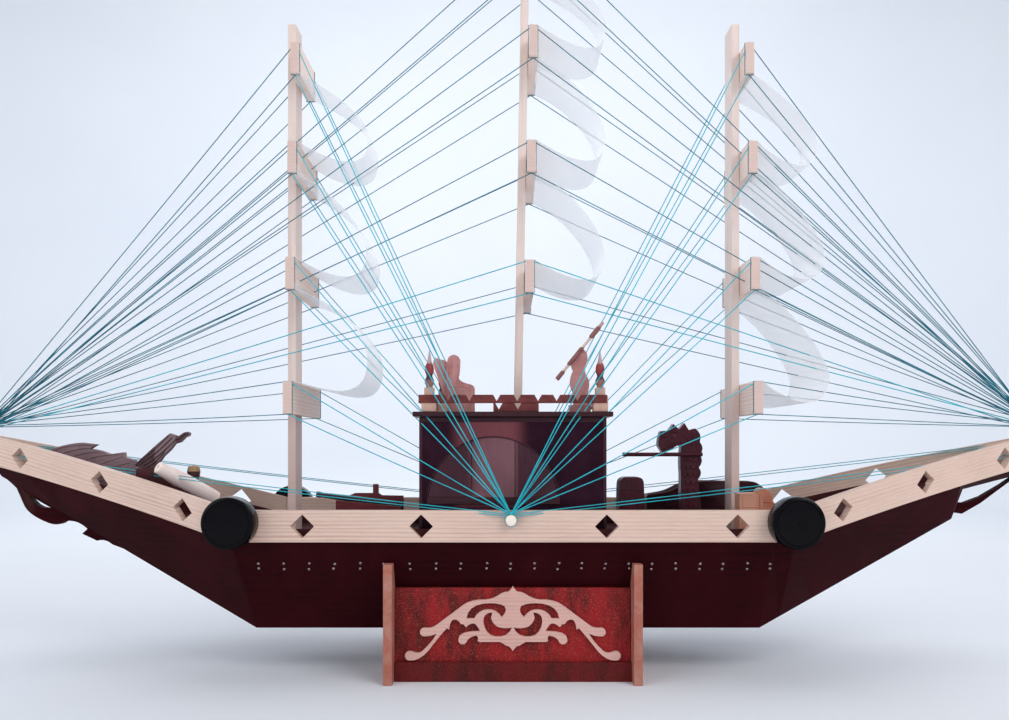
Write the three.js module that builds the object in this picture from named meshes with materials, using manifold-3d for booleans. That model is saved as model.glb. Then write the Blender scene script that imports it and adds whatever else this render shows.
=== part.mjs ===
// Wooden model of a three-masted junk, standing in its own cradle. Millimetres, +Z up, +X towards the bow.
// The origin is on the floor, under the middle of the cradle. The starboard side faces -Y.
import * as THREE from "three";
import { mergeVertices } from "three/addons/utils/BufferGeometryUtils.js";
import Module from "manifold-3d";

const wasm = await Module();
wasm.setup();

// Driving dimensions
const STOCK = 9; // thickness of the boards that nearly everything is sawn from
const GAP = 0.3; // glue line between two pieces that touch
const HALF_BEAM = 115; // outer face of the bulwarks amidships
const MID_HALF = 284; // half the length of the parallel middle body
const END_RUN = 335; // length of each tapered end, along X
const RAIL_BOTTOM = 144.5;
const RAIL_HEIGHT = 32;
const KEEL_Z = 48; // flat underside of the hull
const BOTTOM_HALF = 62; // half width of the flat underside
const TOP_HALF = 110; // half width of the hull at the deck
// Distance from the middle to the end of the flat underside, and how steeply it rises from there
const BOW_RISE = { flat: 262, slope: 0.502 };
const STERN_RISE = { flat: 272, slope: 0.526 };
const HULL_END = 575; // the hull closes here, between the end boards
const SHEER = [98, -15]; // the rail rises by 98 t - 15 t^2 along an end, with t from 0 to 1
const STEM = { from: 486, to: 500, thick: 8 }; // the bow is cut back here to a deck of this thickness

const DECK_TOP = RAIL_BOTTOM - GAP;
const END_STEPS = 8;
const SIDES = [
  [1, "starboard"],
  [-1, "port"],
];
const ENDS = [
  [1, "bow"],
  [-1, "stern"],
];

// Colours of the finishes
const finish = (color, roughness) =>
  new THREE.MeshStandardMaterial({ color, roughness, metalness: 0 });
const PINE = finish(0xdcb894, 0.62);
const MAROON = finish(0x33100f, 0.38);
const RED_STAIN = finish(0x5a1a12, 0.45);
const BLACK = finish(0x0b090a, 0.22);
const BROWN = finish(0x9a5f50, 0.6);
const ORANGE = finish(0xb96f45, 0.6);
const SHEET = finish(0xe6eef5, 0.35);
const THREAD = finish(0x1f8d9c, 0.8);

const ship = new THREE.Group();

function add(name, geometry, material, parent = ship) {
  const mesh = new THREE.Mesh(geometry, material);
  mesh.name = name;
  parent.add(mesh);
  return mesh;
}

// Solids from boards, turned pieces and sections

const shapeOf = (points) =>
  new THREE.Shape(points.map(([a, b]) => new THREE.Vector2(a, b)));

// The other half of an outline is its mirror image, in reverse order.
const mirrored = (half) => [
  ...half,
  ...half.map(([a, b]) => [-a, b]).reverse(),
];

function extrude(shape, thickness, curveSegments = 8) {
  return new THREE.ExtrudeGeometry(shape, {
    depth: thickness,
    bevelEnabled: false,
    curveSegments,
  });
}

// A board drawn in X and Z, with its front face at yFront and its back at yFront + thickness
function elevation(shape, thickness, yFront, curveSegments) {
  return extrude(shape, thickness, curveSegments)
    .rotateX(Math.PI / 2)
    .translate(0, yFront + thickness, 0);
}

// A board drawn in Y and Z that stands across the ship, from xLow to xLow + thickness
function crossways(shape, thickness, xLow, curveSegments) {
  const turn = new THREE.Matrix4().makeBasis(
    new THREE.Vector3(0, 1, 0),
    new THREE.Vector3(0, 0, 1),
    new THREE.Vector3(1, 0, 0),
  );
  return extrude(shape, thickness, curveSegments)
    .applyMatrix4(turn)
    .translate(xLow, 0, 0);
}

function block(xLow, xHigh, yLow, yHigh, zLow, zHigh) {
  return new THREE.BoxGeometry(
    xHigh - xLow,
    yHigh - yLow,
    zHigh - zLow,
  ).translate((xLow + xHigh) / 2, (yLow + yHigh) / 2, (zLow + zHigh) / 2);
}

// A turned piece with its axis along Y; profile lists [radius, height], from the axis and back to it
function turned(profile, sides = 24) {
  return new THREE.LatheGeometry(
    profile.map(([r, h]) => new THREE.Vector2(r, h)),
    sides,
  );
}
const upright = (geometry) => geometry.rotateX(Math.PI / 2);

// A body lofted along X through sections of [y, z] points, counterclockwise seen from the bow
function loft(sections) {
  const count = sections[0].points.length;
  const position = sections.flatMap(({ x, points }) =>
    points.flatMap(([y, z]) => [x, y, z]),
  );
  const index = [];
  for (let s = 0; s + 1 < sections.length; s++)
    for (let j = 0; j < count; j++) {
      const a = s * count + j;
      const b = s * count + ((j + 1) % count);
      index.push(a, b, b + count, a, b + count, a + count);
    }
  const last = (sections.length - 1) * count;
  for (let j = 1; j + 1 < count; j++) {
    index.push(0, j + 1, j);
    index.push(last, last + j, last + j + 1);
  }
  return new THREE.BufferGeometry()
    .setAttribute("position", new THREE.Float32BufferAttribute(position, 3))
    .setIndex(index);
}

function solid(geometry) {
  const loose = geometry.index ? geometry.toNonIndexed() : geometry;
  const bare = new THREE.BufferGeometry().setAttribute(
    "position",
    loose.getAttribute("position"),
  );
  const merged = mergeVertices(bare, 1e-3);
  return new wasm.Manifold(
    new wasm.Mesh({
      numProp: 3,
      vertProperties: merged.attributes.position.array,
      triVerts: new Uint32Array(merged.index.array),
    }),
  );
}

function geometryOf(manifold) {
  const mesh = manifold.getMesh();
  return new THREE.BufferGeometry()
    .setAttribute("position", new THREE.BufferAttribute(mesh.vertProperties, 3))
    .setIndex(new THREE.BufferAttribute(mesh.triVerts, 1));
}

const join = (...geometries) =>
  geometryOf(geometries.map(solid).reduce((sum, next) => sum.add(next)));
const cut = (geometry, ...tools) =>
  geometryOf(
    tools.map(solid).reduce((rest, tool) => rest.subtract(tool), solid(geometry)),
  );

// The same solid on the other side of the centre plane
const mirrorY = (geometry) => geometryOf(solid(geometry).mirror([0, 1, 0]));

// Lines of the hull

const rise = (t) => SHEER[0] * t + SHEER[1] * t * t;
const endShare = (x) => Math.max(0, (Math.abs(x) - MID_HALF) / END_RUN);
const deckZ = (x) => DECK_TOP + rise(endShare(x));
const riseAt = (x) => (x < 0 ? STERN_RISE : BOW_RISE);
const bottomZ = (x) => {
  const { flat, slope } = riseAt(x);
  const sloping = KEEL_Z + slope * Math.max(0, Math.abs(x) - flat);
  const { from, to, thick } = STEM;
  if (x <= from) return sloping;
  const share = Math.min(1, (x - from) / (to - from));
  return sloping + share * (deckZ(x) - thick - sloping);
};
const topHalf = (x) => TOP_HALF * (1 - endShare(x));
const bottomHalf = (x) => {
  const { flat } = riseAt(x);
  const share = Math.max(0, Math.abs(x) - flat) / (HULL_END - flat);
  return BOTTOM_HALF * (1 - 0.86 * share);
};

function stations() {
  const even = Array.from({ length: END_STEPS }, (_, i) => {
    return MID_HALF + ((HULL_END - MID_HALF) * (i + 1)) / END_STEPS;
  });
  const forward = [127, BOW_RISE.flat, MID_HALF, ...even, STEM.from, STEM.to];
  const aft = [127, STERN_RISE.flat, MID_HALF, ...even];
  return [...aft.map((x) => -x), 0, ...forward].sort((a, b) => a - b);
}

// Fretted boards let into the underside at each end
const LET_IN = 4;
const underside = (x) => bottomZ(x) + LET_IN;

// A hooked bar with an open eye over it, and a tooth
function sternScroll() {
  const outline = new THREE.Shape();
  outline.moveTo(-590, 217);
  outline.quadraticCurveTo(-570, 204, -560, 193.5);
  outline.quadraticCurveTo(-556, 184, -551, 173);
  outline.quadraticCurveTo(-545, 162, -523.5, 154);
  outline.quadraticCurveTo(-512, 150, -506, 156);
  outline.quadraticCurveTo(-492, 159, -480, 147.5);
  outline.lineTo(-486, 142);
  outline.lineTo(-469, 134);
  outline.quadraticCurveTo(-460, 137, -452, 130);
  outline.lineTo(-434, 123);
  outline.lineTo(-420, underside(-420));
  outline.lineTo(-572, underside(-572));
  outline.lineTo(-590, 221);
  outline.closePath();
  const eye = new THREE.Path();
  eye.moveTo(-547, 186);
  eye.lineTo(-521.5, 171.5);
  eye.quadraticCurveTo(-536, 168, -547, 186);
  outline.holes.push(eye);
  return elevation(outline, STOCK, -STOCK / 2, 5);
}

// A thin bar that springs back from under the stem and meets the foot of the bow
function bowScroll() {
  const outline = shapeOf([
    [572, 208],
    [531, 184],
    [512, 177],
    [490, 178],
    [486, 168],
    [508, 164.5],
    [529, 176.5],
    [564, 202.5],
    [600, 219],
    [600, 223],
    [572, underside(572)],
  ]);
  return elevation(outline, STOCK, -STOCK / 2);
}

function buildHull() {
  const body = loft(
    stations().map((x) => ({
      x,
      points: [
        [-bottomHalf(x), bottomZ(x)],
        [bottomHalf(x), bottomZ(x)],
        [topHalf(x), deckZ(x)],
        [-topHalf(x), deckZ(x)],
      ],
    })),
  );
  add("hull", join(body, sternScroll(), bowScroll()), MAROON);
}

// Bulwarks: three boards on each side, pierced with diamonds

const DIAMOND = 12; // half its diagonal
const MIDDLE_DIAMONDS = [-211, -92, 94, 225];
const END_DIAMONDS = [0.16, 0.463, 0.777]; // as shares of the length of an end
const PEG = { x: -2, z: 167, radius: 5.75, out: 9 };
const AXLE = { x: 280, z: 165, radius: 2.6, reach: 12 };
const BOSS = { radius: 26, thick: 20, soft: 1.6 };

function diamond(x, z, slope = 0) {
  const along = new THREE.Vector2(1, slope).normalize().multiplyScalar(DIAMOND);
  const hole = new THREE.Path();
  hole.moveTo(x + along.x, z + along.y);
  hole.lineTo(x, z + DIAMOND);
  hole.lineTo(x - along.x, z - along.y);
  hole.lineTo(x, z - DIAMOND);
  hole.closePath();
  return hole;
}

function middleBulwark(side, name) {
  const end = MID_HALF - GAP;
  const board = shapeOf([
    [-end, RAIL_BOTTOM],
    [end, RAIL_BOTTOM],
    [end, RAIL_BOTTOM + RAIL_HEIGHT],
    [-end, RAIL_BOTTOM + RAIL_HEIGHT],
  ]);
  const middle = RAIL_BOTTOM + RAIL_HEIGHT / 2;
  for (const x of MIDDLE_DIAMONDS) board.holes.push(diamond(x, middle));
  const dowel = (x, z, radius, out) =>
    new THREE.CylinderGeometry(radius, radius, out + STOCK / 2, 20).translate(
      x,
      -HALF_BEAM - out / 2 + STOCK / 4,
      z,
    );
  const whole = join(
    elevation(board, STOCK, -HALF_BEAM),
    dowel(PEG.x, PEG.z, PEG.radius, PEG.out),
    dowel(-AXLE.x, AXLE.z, AXLE.radius, AXLE.reach),
    dowel(AXLE.x, AXLE.z, AXLE.radius, AXLE.reach),
  );
  add(name, side > 0 ? whole : mirrorY(whole), PINE);
}

// The end board is drawn straight, along u, then turned in to meet its twin at the stem.
function endBulwark(end, side, name) {
  const turn = Math.atan2(HALF_BEAM, END_RUN);
  const length = END_RUN / Math.cos(turn);
  const extra = 10; // drawn past the joint and the stem, and cut back to them
  const slopeAt = (t) => (SHEER[0] + 2 * SHEER[1] * t) / length;
  const lower = [[-extra, RAIL_BOTTOM]];
  for (let i = 0; i <= END_STEPS; i++) {
    const t = i / END_STEPS;
    lower.push([length * t, RAIL_BOTTOM + rise(t)]);
  }
  lower.push([length + extra, RAIL_BOTTOM + rise(1) + extra * slopeAt(1)]);
  const upper = lower.map(([u, z]) => [u, z + RAIL_HEIGHT]).reverse();
  const board = shapeOf([...lower, ...upper]);
  for (const t of END_DIAMONDS)
    board.holes.push(
      diamond(length * t, RAIL_BOTTOM + rise(t) + RAIL_HEIGHT / 2, slopeAt(t)),
    );
  const placed = elevation(board, STOCK, 0)
    .rotateZ(turn)
    .translate(MID_HALF, -HALF_BEAM, 0);
  let trimmed = solid(placed)
    .trimByPlane([0, -1, 0], GAP / 2)
    .trimByPlane([1, 0, 0], MID_HALF);
  if (side < 0) trimmed = trimmed.mirror([0, 1, 0]);
  if (end < 0) trimmed = trimmed.mirror([1, 0, 0]);
  add(name, geometryOf(trimmed), PINE);
}

// Round black boss over the joint between two bulwark boards; it turns on a wooden stub
function buildBoss(end, side, name) {
  const { radius, thick, soft } = BOSS;
  const bore = AXLE.radius + GAP;
  const depth = AXLE.reach + 0.7;
  const mesh = add(
    name,
    turned(
      [
        [0, depth],
        [bore, depth],
        [bore, GAP],
        [radius - soft, GAP],
        [radius, GAP + soft],
        [radius, thick - soft],
        [radius - soft, thick],
        [0, thick],
      ],
      48,
    ),
    BLACK,
  );
  mesh.rotation.x = side > 0 ? Math.PI : 0;
  mesh.position.set(end * AXLE.x, -side * HALF_BEAM, AXLE.z);
}

function buildBulwarks() {
  for (const [side, word] of SIDES) {
    middleBulwark(side, `bulwark_middle_${word}`);
    for (const [end, place] of ENDS) {
      endBulwark(end, side, `bulwark_${place}_${word}`);
      buildBoss(end, side, `boss_${place}_${word}`);
    }
  }
}

// Cradle: two plates with a seat for the hull, and a panel with a fretted ornament on each side

const CRADLE = { inner: 121.5, half: 112, height: 122, panelTop: 95.5 };
const STRIP = { proud: 5, top: 20 }; // base strip of a panel
const PANEL = { front: -92.4, thick: 6 };
const FRET = { thick: 3.5, foot: 20.5 };

// Right half of the ornament, from its crest round to its foot, as x and height over the foot.
// A row of four holds a control point and the end of a curve, and a row of two the end of a straight edge.
const FRET_EDGE = [
  [0, 77.3],
  [2, 73, 5, 71.4],
  [9, 71.5, 13, 69],
  [20, 64, 28, 63.3],
  [42, 64, 50.6, 58],
  [77.9, 37.6],
  [83, 33.5, 90.6, 34.6],
  [90.6, 26],
  [84, 25.5, 77.9, 28.9],
  [82, 20, 93.2, 10.3],
  [97, 7.5, 104, 10.6],
  [105, 1.3],
  [96, 0.5, 86.4, 11.2],
  [76, 25, 67.6, 34.2],
  [65.3, 32.8],
  [64, 43, 60, 43.2],
  [55.5, 43.5, 53.2, 38.4],
  [50.6, 38.4],
  [48, 35.3],
  [43, 40, 39, 39],
  [35.5, 36, 33.6, 31.3],
  [56, 31, 55.7, 23.1],
  [47.5, 20],
  [45, 26, 37, 26.7],
  [35.3, 24.3],
  [36.1, 21.4],
  [35, 20.2, 33, 20.2],
  [13.1, 20.2],
  [9, 18, 7, 16.5],
  [3, 16.5, 0, 10.8],
];
const FRET_CRESCENT = [
  [47.4, 44.2],
  [46, 57, 30.2, 59.4],
  [16, 61, 8.5, 57],
  [5, 51, 11.4, 45.6],
  [17, 54, 26.7, 53.4],
  [36, 52, 39.5, 44.2],
];
const FRET_COMMA = [
  [20.8, 50.5],
  [31, 50, 30.2, 40],
  [28, 27, 18.2, 25.6],
  [5, 24, 0.6, 35],
  [8, 33, 15.7, 35.8],
  [21, 39, 22.3, 45],
];
// Round ends of the scrolls, as x, height and radius
const FRET_BALLS = [
  [90.6, 30.2, 4.4],
  [105.6, 6, 4.8],
  [51.3, 22.2, 4.5],
];

function pointsOf(rows) {
  const path = new THREE.Path();
  for (const row of rows)
    if (row.length === 4) path.quadraticCurveTo(...row);
    else if (row === rows[0]) path.moveTo(...row);
    else path.lineTo(...row);
  return path.getPoints(4).map(({ x, y }) => [x, y]);
}

function fretPlate(front) {
  const half = pointsOf(FRET_EDGE);
  const flip = (points) => points.map(([x, z]) => [-x, z]).reverse();
  const outline = shapeOf([...half, ...flip(half.slice(1, -1))].reverse());
  for (const rows of [FRET_CRESCENT, FRET_COMMA])
    for (const points of [pointsOf(rows), flip(pointsOf(rows))])
      outline.holes.push(shapeOf(points));
  const plates = [elevation(outline, FRET.thick, front)];
  for (const [x, z, radius] of FRET_BALLS)
    for (const s of [-1, 1]) {
      const disc = new THREE.CylinderGeometry(radius, radius, FRET.thick, 16);
      plates.push(disc.translate(s * x, front + FRET.thick / 2, z));
    }
  return join(...plates);
}

function buildCradle() {
  const { inner, half, height, panelTop } = CRADLE;
  const clear = 0.5;
  const flare = (TOP_HALF - BOTTOM_HALF) / (DECK_TOP - KEEL_Z);
  const seat = BOTTOM_HALF + clear;
  const plate = shapeOf(
    mirrored([
      [-half, 0],
      [-half, height],
      [-(seat + flare * (height - KEEL_Z)), height],
      [-seat, KEEL_Z - GAP],
    ]).reverse(),
  );
  add("cradle_plate_stern", crossways(plate, STOCK, -inner - STOCK), BROWN);
  add("cradle_plate_bow", crossways(plate, STOCK, inner), BROWN);
  const reach = inner - GAP;
  const low = PANEL.front - STRIP.proud;
  const back = PANEL.front + PANEL.thick;
  const profile = shapeOf([
    [low, 0],
    [back, 0],
    [back, panelTop],
    [PANEL.front, panelTop],
    [PANEL.front, STRIP.top],
    [low, STRIP.top],
  ]);
  const face = PANEL.front - GAP - FRET.thick;
  for (const [side, word] of SIDES) {
    const panel = crossways(profile, 2 * reach, -reach);
    const fret = fretPlate(face).translate(0, 0, FRET.foot);
    const onSide = (geometry) => (side > 0 ? geometry : mirrorY(geometry));
    add(`cradle_panel_${word}`, onSide(panel), RED_STAIN);
    add(`ornament_${word}`, onSide(fret), PINE);
  }
}

// Cabin: a ring of walls, a half-round door of three leaves, a flat roof and a notched parapet

const CABIN = { x: 95.5, y: 96, wall: 6, base: RAIL_BOTTOM, top: 270.7 };
const ROOF = { x: 102, y: 102, low: 271, top: 276 };
const DOOR = { x: -20, half: 67, sill: 183, thick: 4, seams: [-22.3, 22.3] };
const MAIN_SLOT = { low: -3, high: 14, half: 16 }; // the main mast passes through the roof here

function halfRound(radius, base) {
  const arch = new THREE.Shape();
  arch.absarc(0, base, radius, 0, Math.PI);
  arch.closePath();
  return arch;
}

function buildCabin() {
  const { x, y, wall, base, top } = CABIN;
  const doorway = elevation(halfRound(DOOR.half, DOOR.sill), wall + 2, -y - 1, 28).translate(DOOR.x, 0, 0);
  const inX = x - wall;
  const inY = y - wall;
  const room = block(-inX, inX, -inY, inY, base - 1, top + 1);
  const walls = cut(block(-x, x, -y, y, base, top), room, doorway);
  add("cabin_walls", walls, MAROON);
  const slack = 0.4; // clearance of the leaves in the doorway
  const round = halfRound(DOOR.half - slack, DOOR.sill + slack);
  const leaves = elevation(round, DOOR.thick, -y + 1, 28);
  const seams = DOOR.seams.map((at) => block(at - 0.6, at + 0.6, -y, -y + 2.2, base, top));
  add("cabin_door", cut(leaves, ...seams).translate(DOOR.x, 0, 0), RED_STAIN);
  const { low, high, half } = MAIN_SLOT;
  const slot = block(low, high, -half, half, ROOF.low - 1, ROOF.top + 1);
  const sheet = block(-ROOF.x, ROOF.x, -ROOF.y, ROOF.y, ROOF.low, ROOF.top);
  add("cabin_roof", cut(sheet, slot), MAROON);
}

const PARAPET = { low: 285, top: 293.5, thick: 6, reach: 96.5 };
const NOTCH = { half: 3.7, deep: 6.5 };
const NOTCHES_AT = [-66.5, -44.5, -16.5, 4.5, 25.8, 44.8, 66];
const PROP = { from: -20, to: 26.5, low: 276.3, top: 285.6, notches: [-14.3, 5.1] };
const POST = { at: 88, shift: 2, half: 7.5, top: 301 };

// A turned finial on a square foot, as [radius, height over the foot]
const FINIAL = [
  [0, -2],
  [3.4, -2],
  [3.4, 3],
  [5, 7],
  [3, 12],
  [4.4, 16],
  [4.4, 22],
  [2.4, 26],
  [0, 40],
];

function notchedStrip(from, to, low, top, notches) {
  const points = [
    [from, low],
    [to, low],
    [to, top],
  ];
  for (const at of notches.toReversed()) {
    points.push(
      [at + NOTCH.half, top],
      [at, top - NOTCH.deep],
      [at - NOTCH.half, top],
    );
  }
  points.push([from, top]);
  return shapeOf(points);
}

// The parapet has rails on three sides, and is open towards +Y. A short prop carries its front rail.
function buildParapet() {
  const { low, top, thick, reach } = PARAPET;
  const shape = notchedStrip(-reach, reach, low, top, NOTCHES_AT);
  const rail = elevation(shape, thick, -reach);
  const prop = notchedStrip(PROP.from, PROP.to, PROP.low, PROP.top, PROP.notches);
  const pieces = [elevation(prop, thick - 1, -reach + 0.5)];
  for (const quarter of [0, 1, 3])
    pieces.push(rail.clone().rotateZ((quarter * Math.PI) / 2));
  for (const sx of [-1, 1])
    for (const sy of [-1, 1]) {
      const x = sx * POST.at + POST.shift;
      const y = sy * POST.at;
      const h = POST.half;
      pieces.push(
        block(x - h, x + h, y - h, y + h, ROOF.top + GAP, top - 1),
        block(x - 5, x + 5, y - 5, y + 5, top - 2, POST.top),
        upright(turned(FINIAL, 14)).translate(x, y, POST.top),
      );
    }
  add("parapet", join(...pieces), RED_STAIN);
}

// Masts, with crossed yards glued to their forward faces, and sails that belly forward between the yards

const MAST = { thick: STOCK, wide: 29 };
const YARD = { thick: STOCK, high: 34 };
const SAIL = { thick: 0.8, hem: 26, slack: 1.2 };
const LEVELS = ["lowest", "lower", "upper", "top"];
const YARD_LENGTHS = [144, 124, 106, 80];
const SIDE_YARDS = [147.5, 280.5, 407.5, 519.5];
const MAIN_YARDS = [275.5, 405.5, 532.5, 645.5];

// Shapes of sails: how far forward the belly comes and at what height over the lower yard's top, and
// the control points of its two curves, with heights over that top and, for headNear, the upper yard
const TIGHT_SAIL = {
  full: 91.5,
  at: 20,
  footNear: [40, -4],
  footFar: [88, -28],
  headFar: [92.5, 50],
  headNear: [66, -16],
};
const SLACK_SAIL = {
  full: 89,
  at: 8,
  footNear: [36, -13],
  footFar: [90, -40],
  headFar: [89, 30],
  headNear: [58, -21],
};
const DEEP_SAIL = {
  full: 87,
  at: 6,
  footNear: [32, -17],
  footFar: [84, -42],
  headFar: [86, 28],
  headNear: [46, -17],
};

// X of the foot, lean in degrees, and heights of the top and of the yards' middles over the foot
const RIGS = [
  {
    name: "mizzen",
    x: -246.5,
    lean: 0,
    top: 568.5,
    yards: SIDE_YARDS,
    sails: [TIGHT_SAIL, SLACK_SAIL, SLACK_SAIL],
    waists: [0.14, 0.14, 0.2],
  },
  {
    name: "main",
    x: 4,
    lean: 0.97,
    top: 685.5,
    yards: MAIN_YARDS,
    sails: [SLACK_SAIL, SLACK_SAIL, SLACK_SAIL],
    waists: [0.14, 0.18, 0.24],
  },
  {
    name: "fore",
    x: 249.5,
    lean: 0,
    top: 568.5,
    yards: SIDE_YARDS,
    sails: [DEEP_SAIL, DEEP_SAIL, DEEP_SAIL],
    waists: [0.1, 0.14, 0.3],
  },
];

// The line of a sail in X and Z, from its foot on top of the lower yard to its hem on the upper one
function sailLine(lowYard, highYard, shape) {
  const gap = GAP + SAIL.thick / 2;
  const yardBack = MAST.thick / 2 + GAP;
  const face = yardBack + YARD.thick + gap;
  const foot = lowYard + YARD.high / 2 + gap;
  const low = lowYard + YARD.high / 2;
  const high = highYard - YARD.high / 2;
  const { full, at, footNear, footFar, headFar, headNear } = shape;
  // Two curves with their control points, as X and Z: the foot of the belly, and the slope up to the yard
  const curves = [
    [face, foot, footNear[0], low + footNear[1], footFar[0], low + footFar[1], full, low + at],
    [full, low + at, headFar[0], low + headFar[1], headNear[0], high + headNear[1], face, high],
  ];
  const line = [new THREE.Vector2(yardBack + 1, foot)];
  for (const c of curves) {
    const [a, b, d, e] = [0, 2, 4, 6].map((i) => new THREE.Vector2(c[i], c[i + 1]));
    const curve = new THREE.CubicBezierCurve(a, b, d, e);
    line.push(...curve.getPoints(9).slice(0, -1));
  }
  line.push(
    new THREE.Vector2(face, high),
    new THREE.Vector2(face, high + SAIL.hem),
  );
  return line;
}

// A sheet that narrows from yard to yard, and draws in at both edges by waist times its belly
function sailGeometry([low, lowLength], [high, highLength], shape, waist) {
  const line = sailLine(low, high, shape);
  const offset = (sign) =>
    line.map((point, i) => {
      const before = line[Math.max(0, i - 1)];
      const after = line[Math.min(line.length - 1, i + 1)];
      const along = after.clone().sub(before).normalize();
      const out = new THREE.Vector2(along.y, -along.x);
      return point.clone().addScaledVector(out, (sign * SAIL.thick) / 2);
    });
  const outline = new THREE.Shape([...offset(1), ...offset(-1).reverse()]);
  const geometry = elevation(outline, 1, -0.5);
  const position = geometry.getAttribute("position");
  for (let i = 0; i < position.count; i++) {
    const share = (position.getZ(i) - low) / (high - low);
    const forward = position.getX(i) - line[0].x;
    const drawnIn = SAIL.slack + waist * Math.max(0, forward);
    const width = lowLength + (highLength - lowLength) * share - 2 * drawnIn;
    position.setY(i, position.getY(i) * width);
  }
  return geometry;
}

function buildRig({ name, x, lean, top, yards, sails, waists }) {
  const rig = new THREE.Group();
  rig.position.set(x, 0, RAIL_BOTTOM);
  rig.rotation.y = THREE.MathUtils.degToRad(lean);
  ship.add(rig);
  const half = MAST.thick / 2;
  const foot = lean ? 0.1 : 0; // a leaning mast is lifted clear of the deck at its heel
  const across = MAST.wide / 2;
  add(`mast_${name}`, block(-half, half, -across, across, foot, top), PINE, rig);
  yards.forEach((z, i) => {
    const reach = YARD_LENGTHS[i] / 2;
    const back = half + GAP;
    const high = YARD.high / 2;
    const front = back + YARD.thick;
    const board = block(back, front, -reach, reach, z - high, z + high);
    add(`yard_${name}_${LEVELS[i]}`, board, PINE, rig);
    if (i === 0) return;
    const lower = [yards[i - 1], YARD_LENGTHS[i - 1]];
    const upper = [z, YARD_LENGTHS[i]];
    const sail = sailGeometry(lower, upper, sails[i - 1], waists[i - 1]);
    add(`sail_${name}_${LEVELS[i]}`, sail, SHEET, rig);
  });
}

// Main stays: a knot on each stem, and two threads from it to the ends of the nearest top yard

function thread(from, to, radius) {
  const round = new THREE.Shape();
  round.absarc(0, 0, radius, 0, 2 * Math.PI);
  return new THREE.ExtrudeGeometry(round, {
    steps: 1,
    extrudePath: new THREE.LineCurve3(from, to),
    bevelEnabled: false,
    curveSegments: 4,
  });
}

function buildStays(end, rig, name) {
  const radius = 0.65;
  const knotRadius = 3.5;
  const knotX = 600;
  const railTop = RAIL_BOTTOM + rise(endShare(knotX)) + RAIL_HEIGHT;
  const knot = new THREE.Vector3(end * knotX, 0, railTop + knotRadius + 1);
  const ball = new THREE.SphereGeometry(knotRadius, 10, 8);
  const pieces = [ball.translate(knot.x, knot.y, knot.z)];
  const yardX = rig.x + MAST.thick / 2 + GAP + YARD.thick / 2;
  for (const side of [-1, 1]) {
    const y = side * (YARD_LENGTHS[3] / 2 + 2 * GAP + radius);
    const z = RAIL_BOTTOM + rig.yards[3] + YARD.high / 2 - 3;
    pieces.push(thread(knot, new THREE.Vector3(yardX, y, z), radius));
  }
  add(name, join(...pieces), THREAD);
}

// Things on the cabin roof, with heights over the roof

const onRoof = (mesh) => mesh.position.setZ(ROOF.top + GAP);

function buildSeat() {
  const cheek = new THREE.Shape();
  cheek.moveTo(-69, 0);
  cheek.lineTo(-68.5, 20);
  cheek.quadraticCurveTo(-71, 40, -69, 51);
  cheek.absarc(-62, 54, 6.8, Math.PI, -0.3, true);
  cheek.quadraticCurveTo(-55.5, 43, -57, 37);
  cheek.quadraticCurveTo(-56, 32, -44, 29.5);
  cheek.quadraticCurveTo(-40, 28.5, -40, 24);
  cheek.lineTo(-40, 0);
  cheek.closePath();
  const thick = 7;
  const back = shapeOf([
    [-68, 4],
    [-62, 4],
    [-70.5, 55],
    [-83, 58.5],
    [-84.5, 52],
  ]);
  const pieces = [
    elevation(cheek, thick, -70, 8),
    elevation(cheek, thick, -40, 8).translate(-2.2, 0, 0),
    elevation(back, 24, -64, 8),
    block(-68, -42, -64, -39, 15, 21),
  ];
  onRoof(add("roof_seat", join(...pieces), BROWN));
}

const GUN = { x: 66.4, y: -67.1, z: 59.4, tilt: 51, length: 77.5, atPin: 31.3, pin: 1 };

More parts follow.
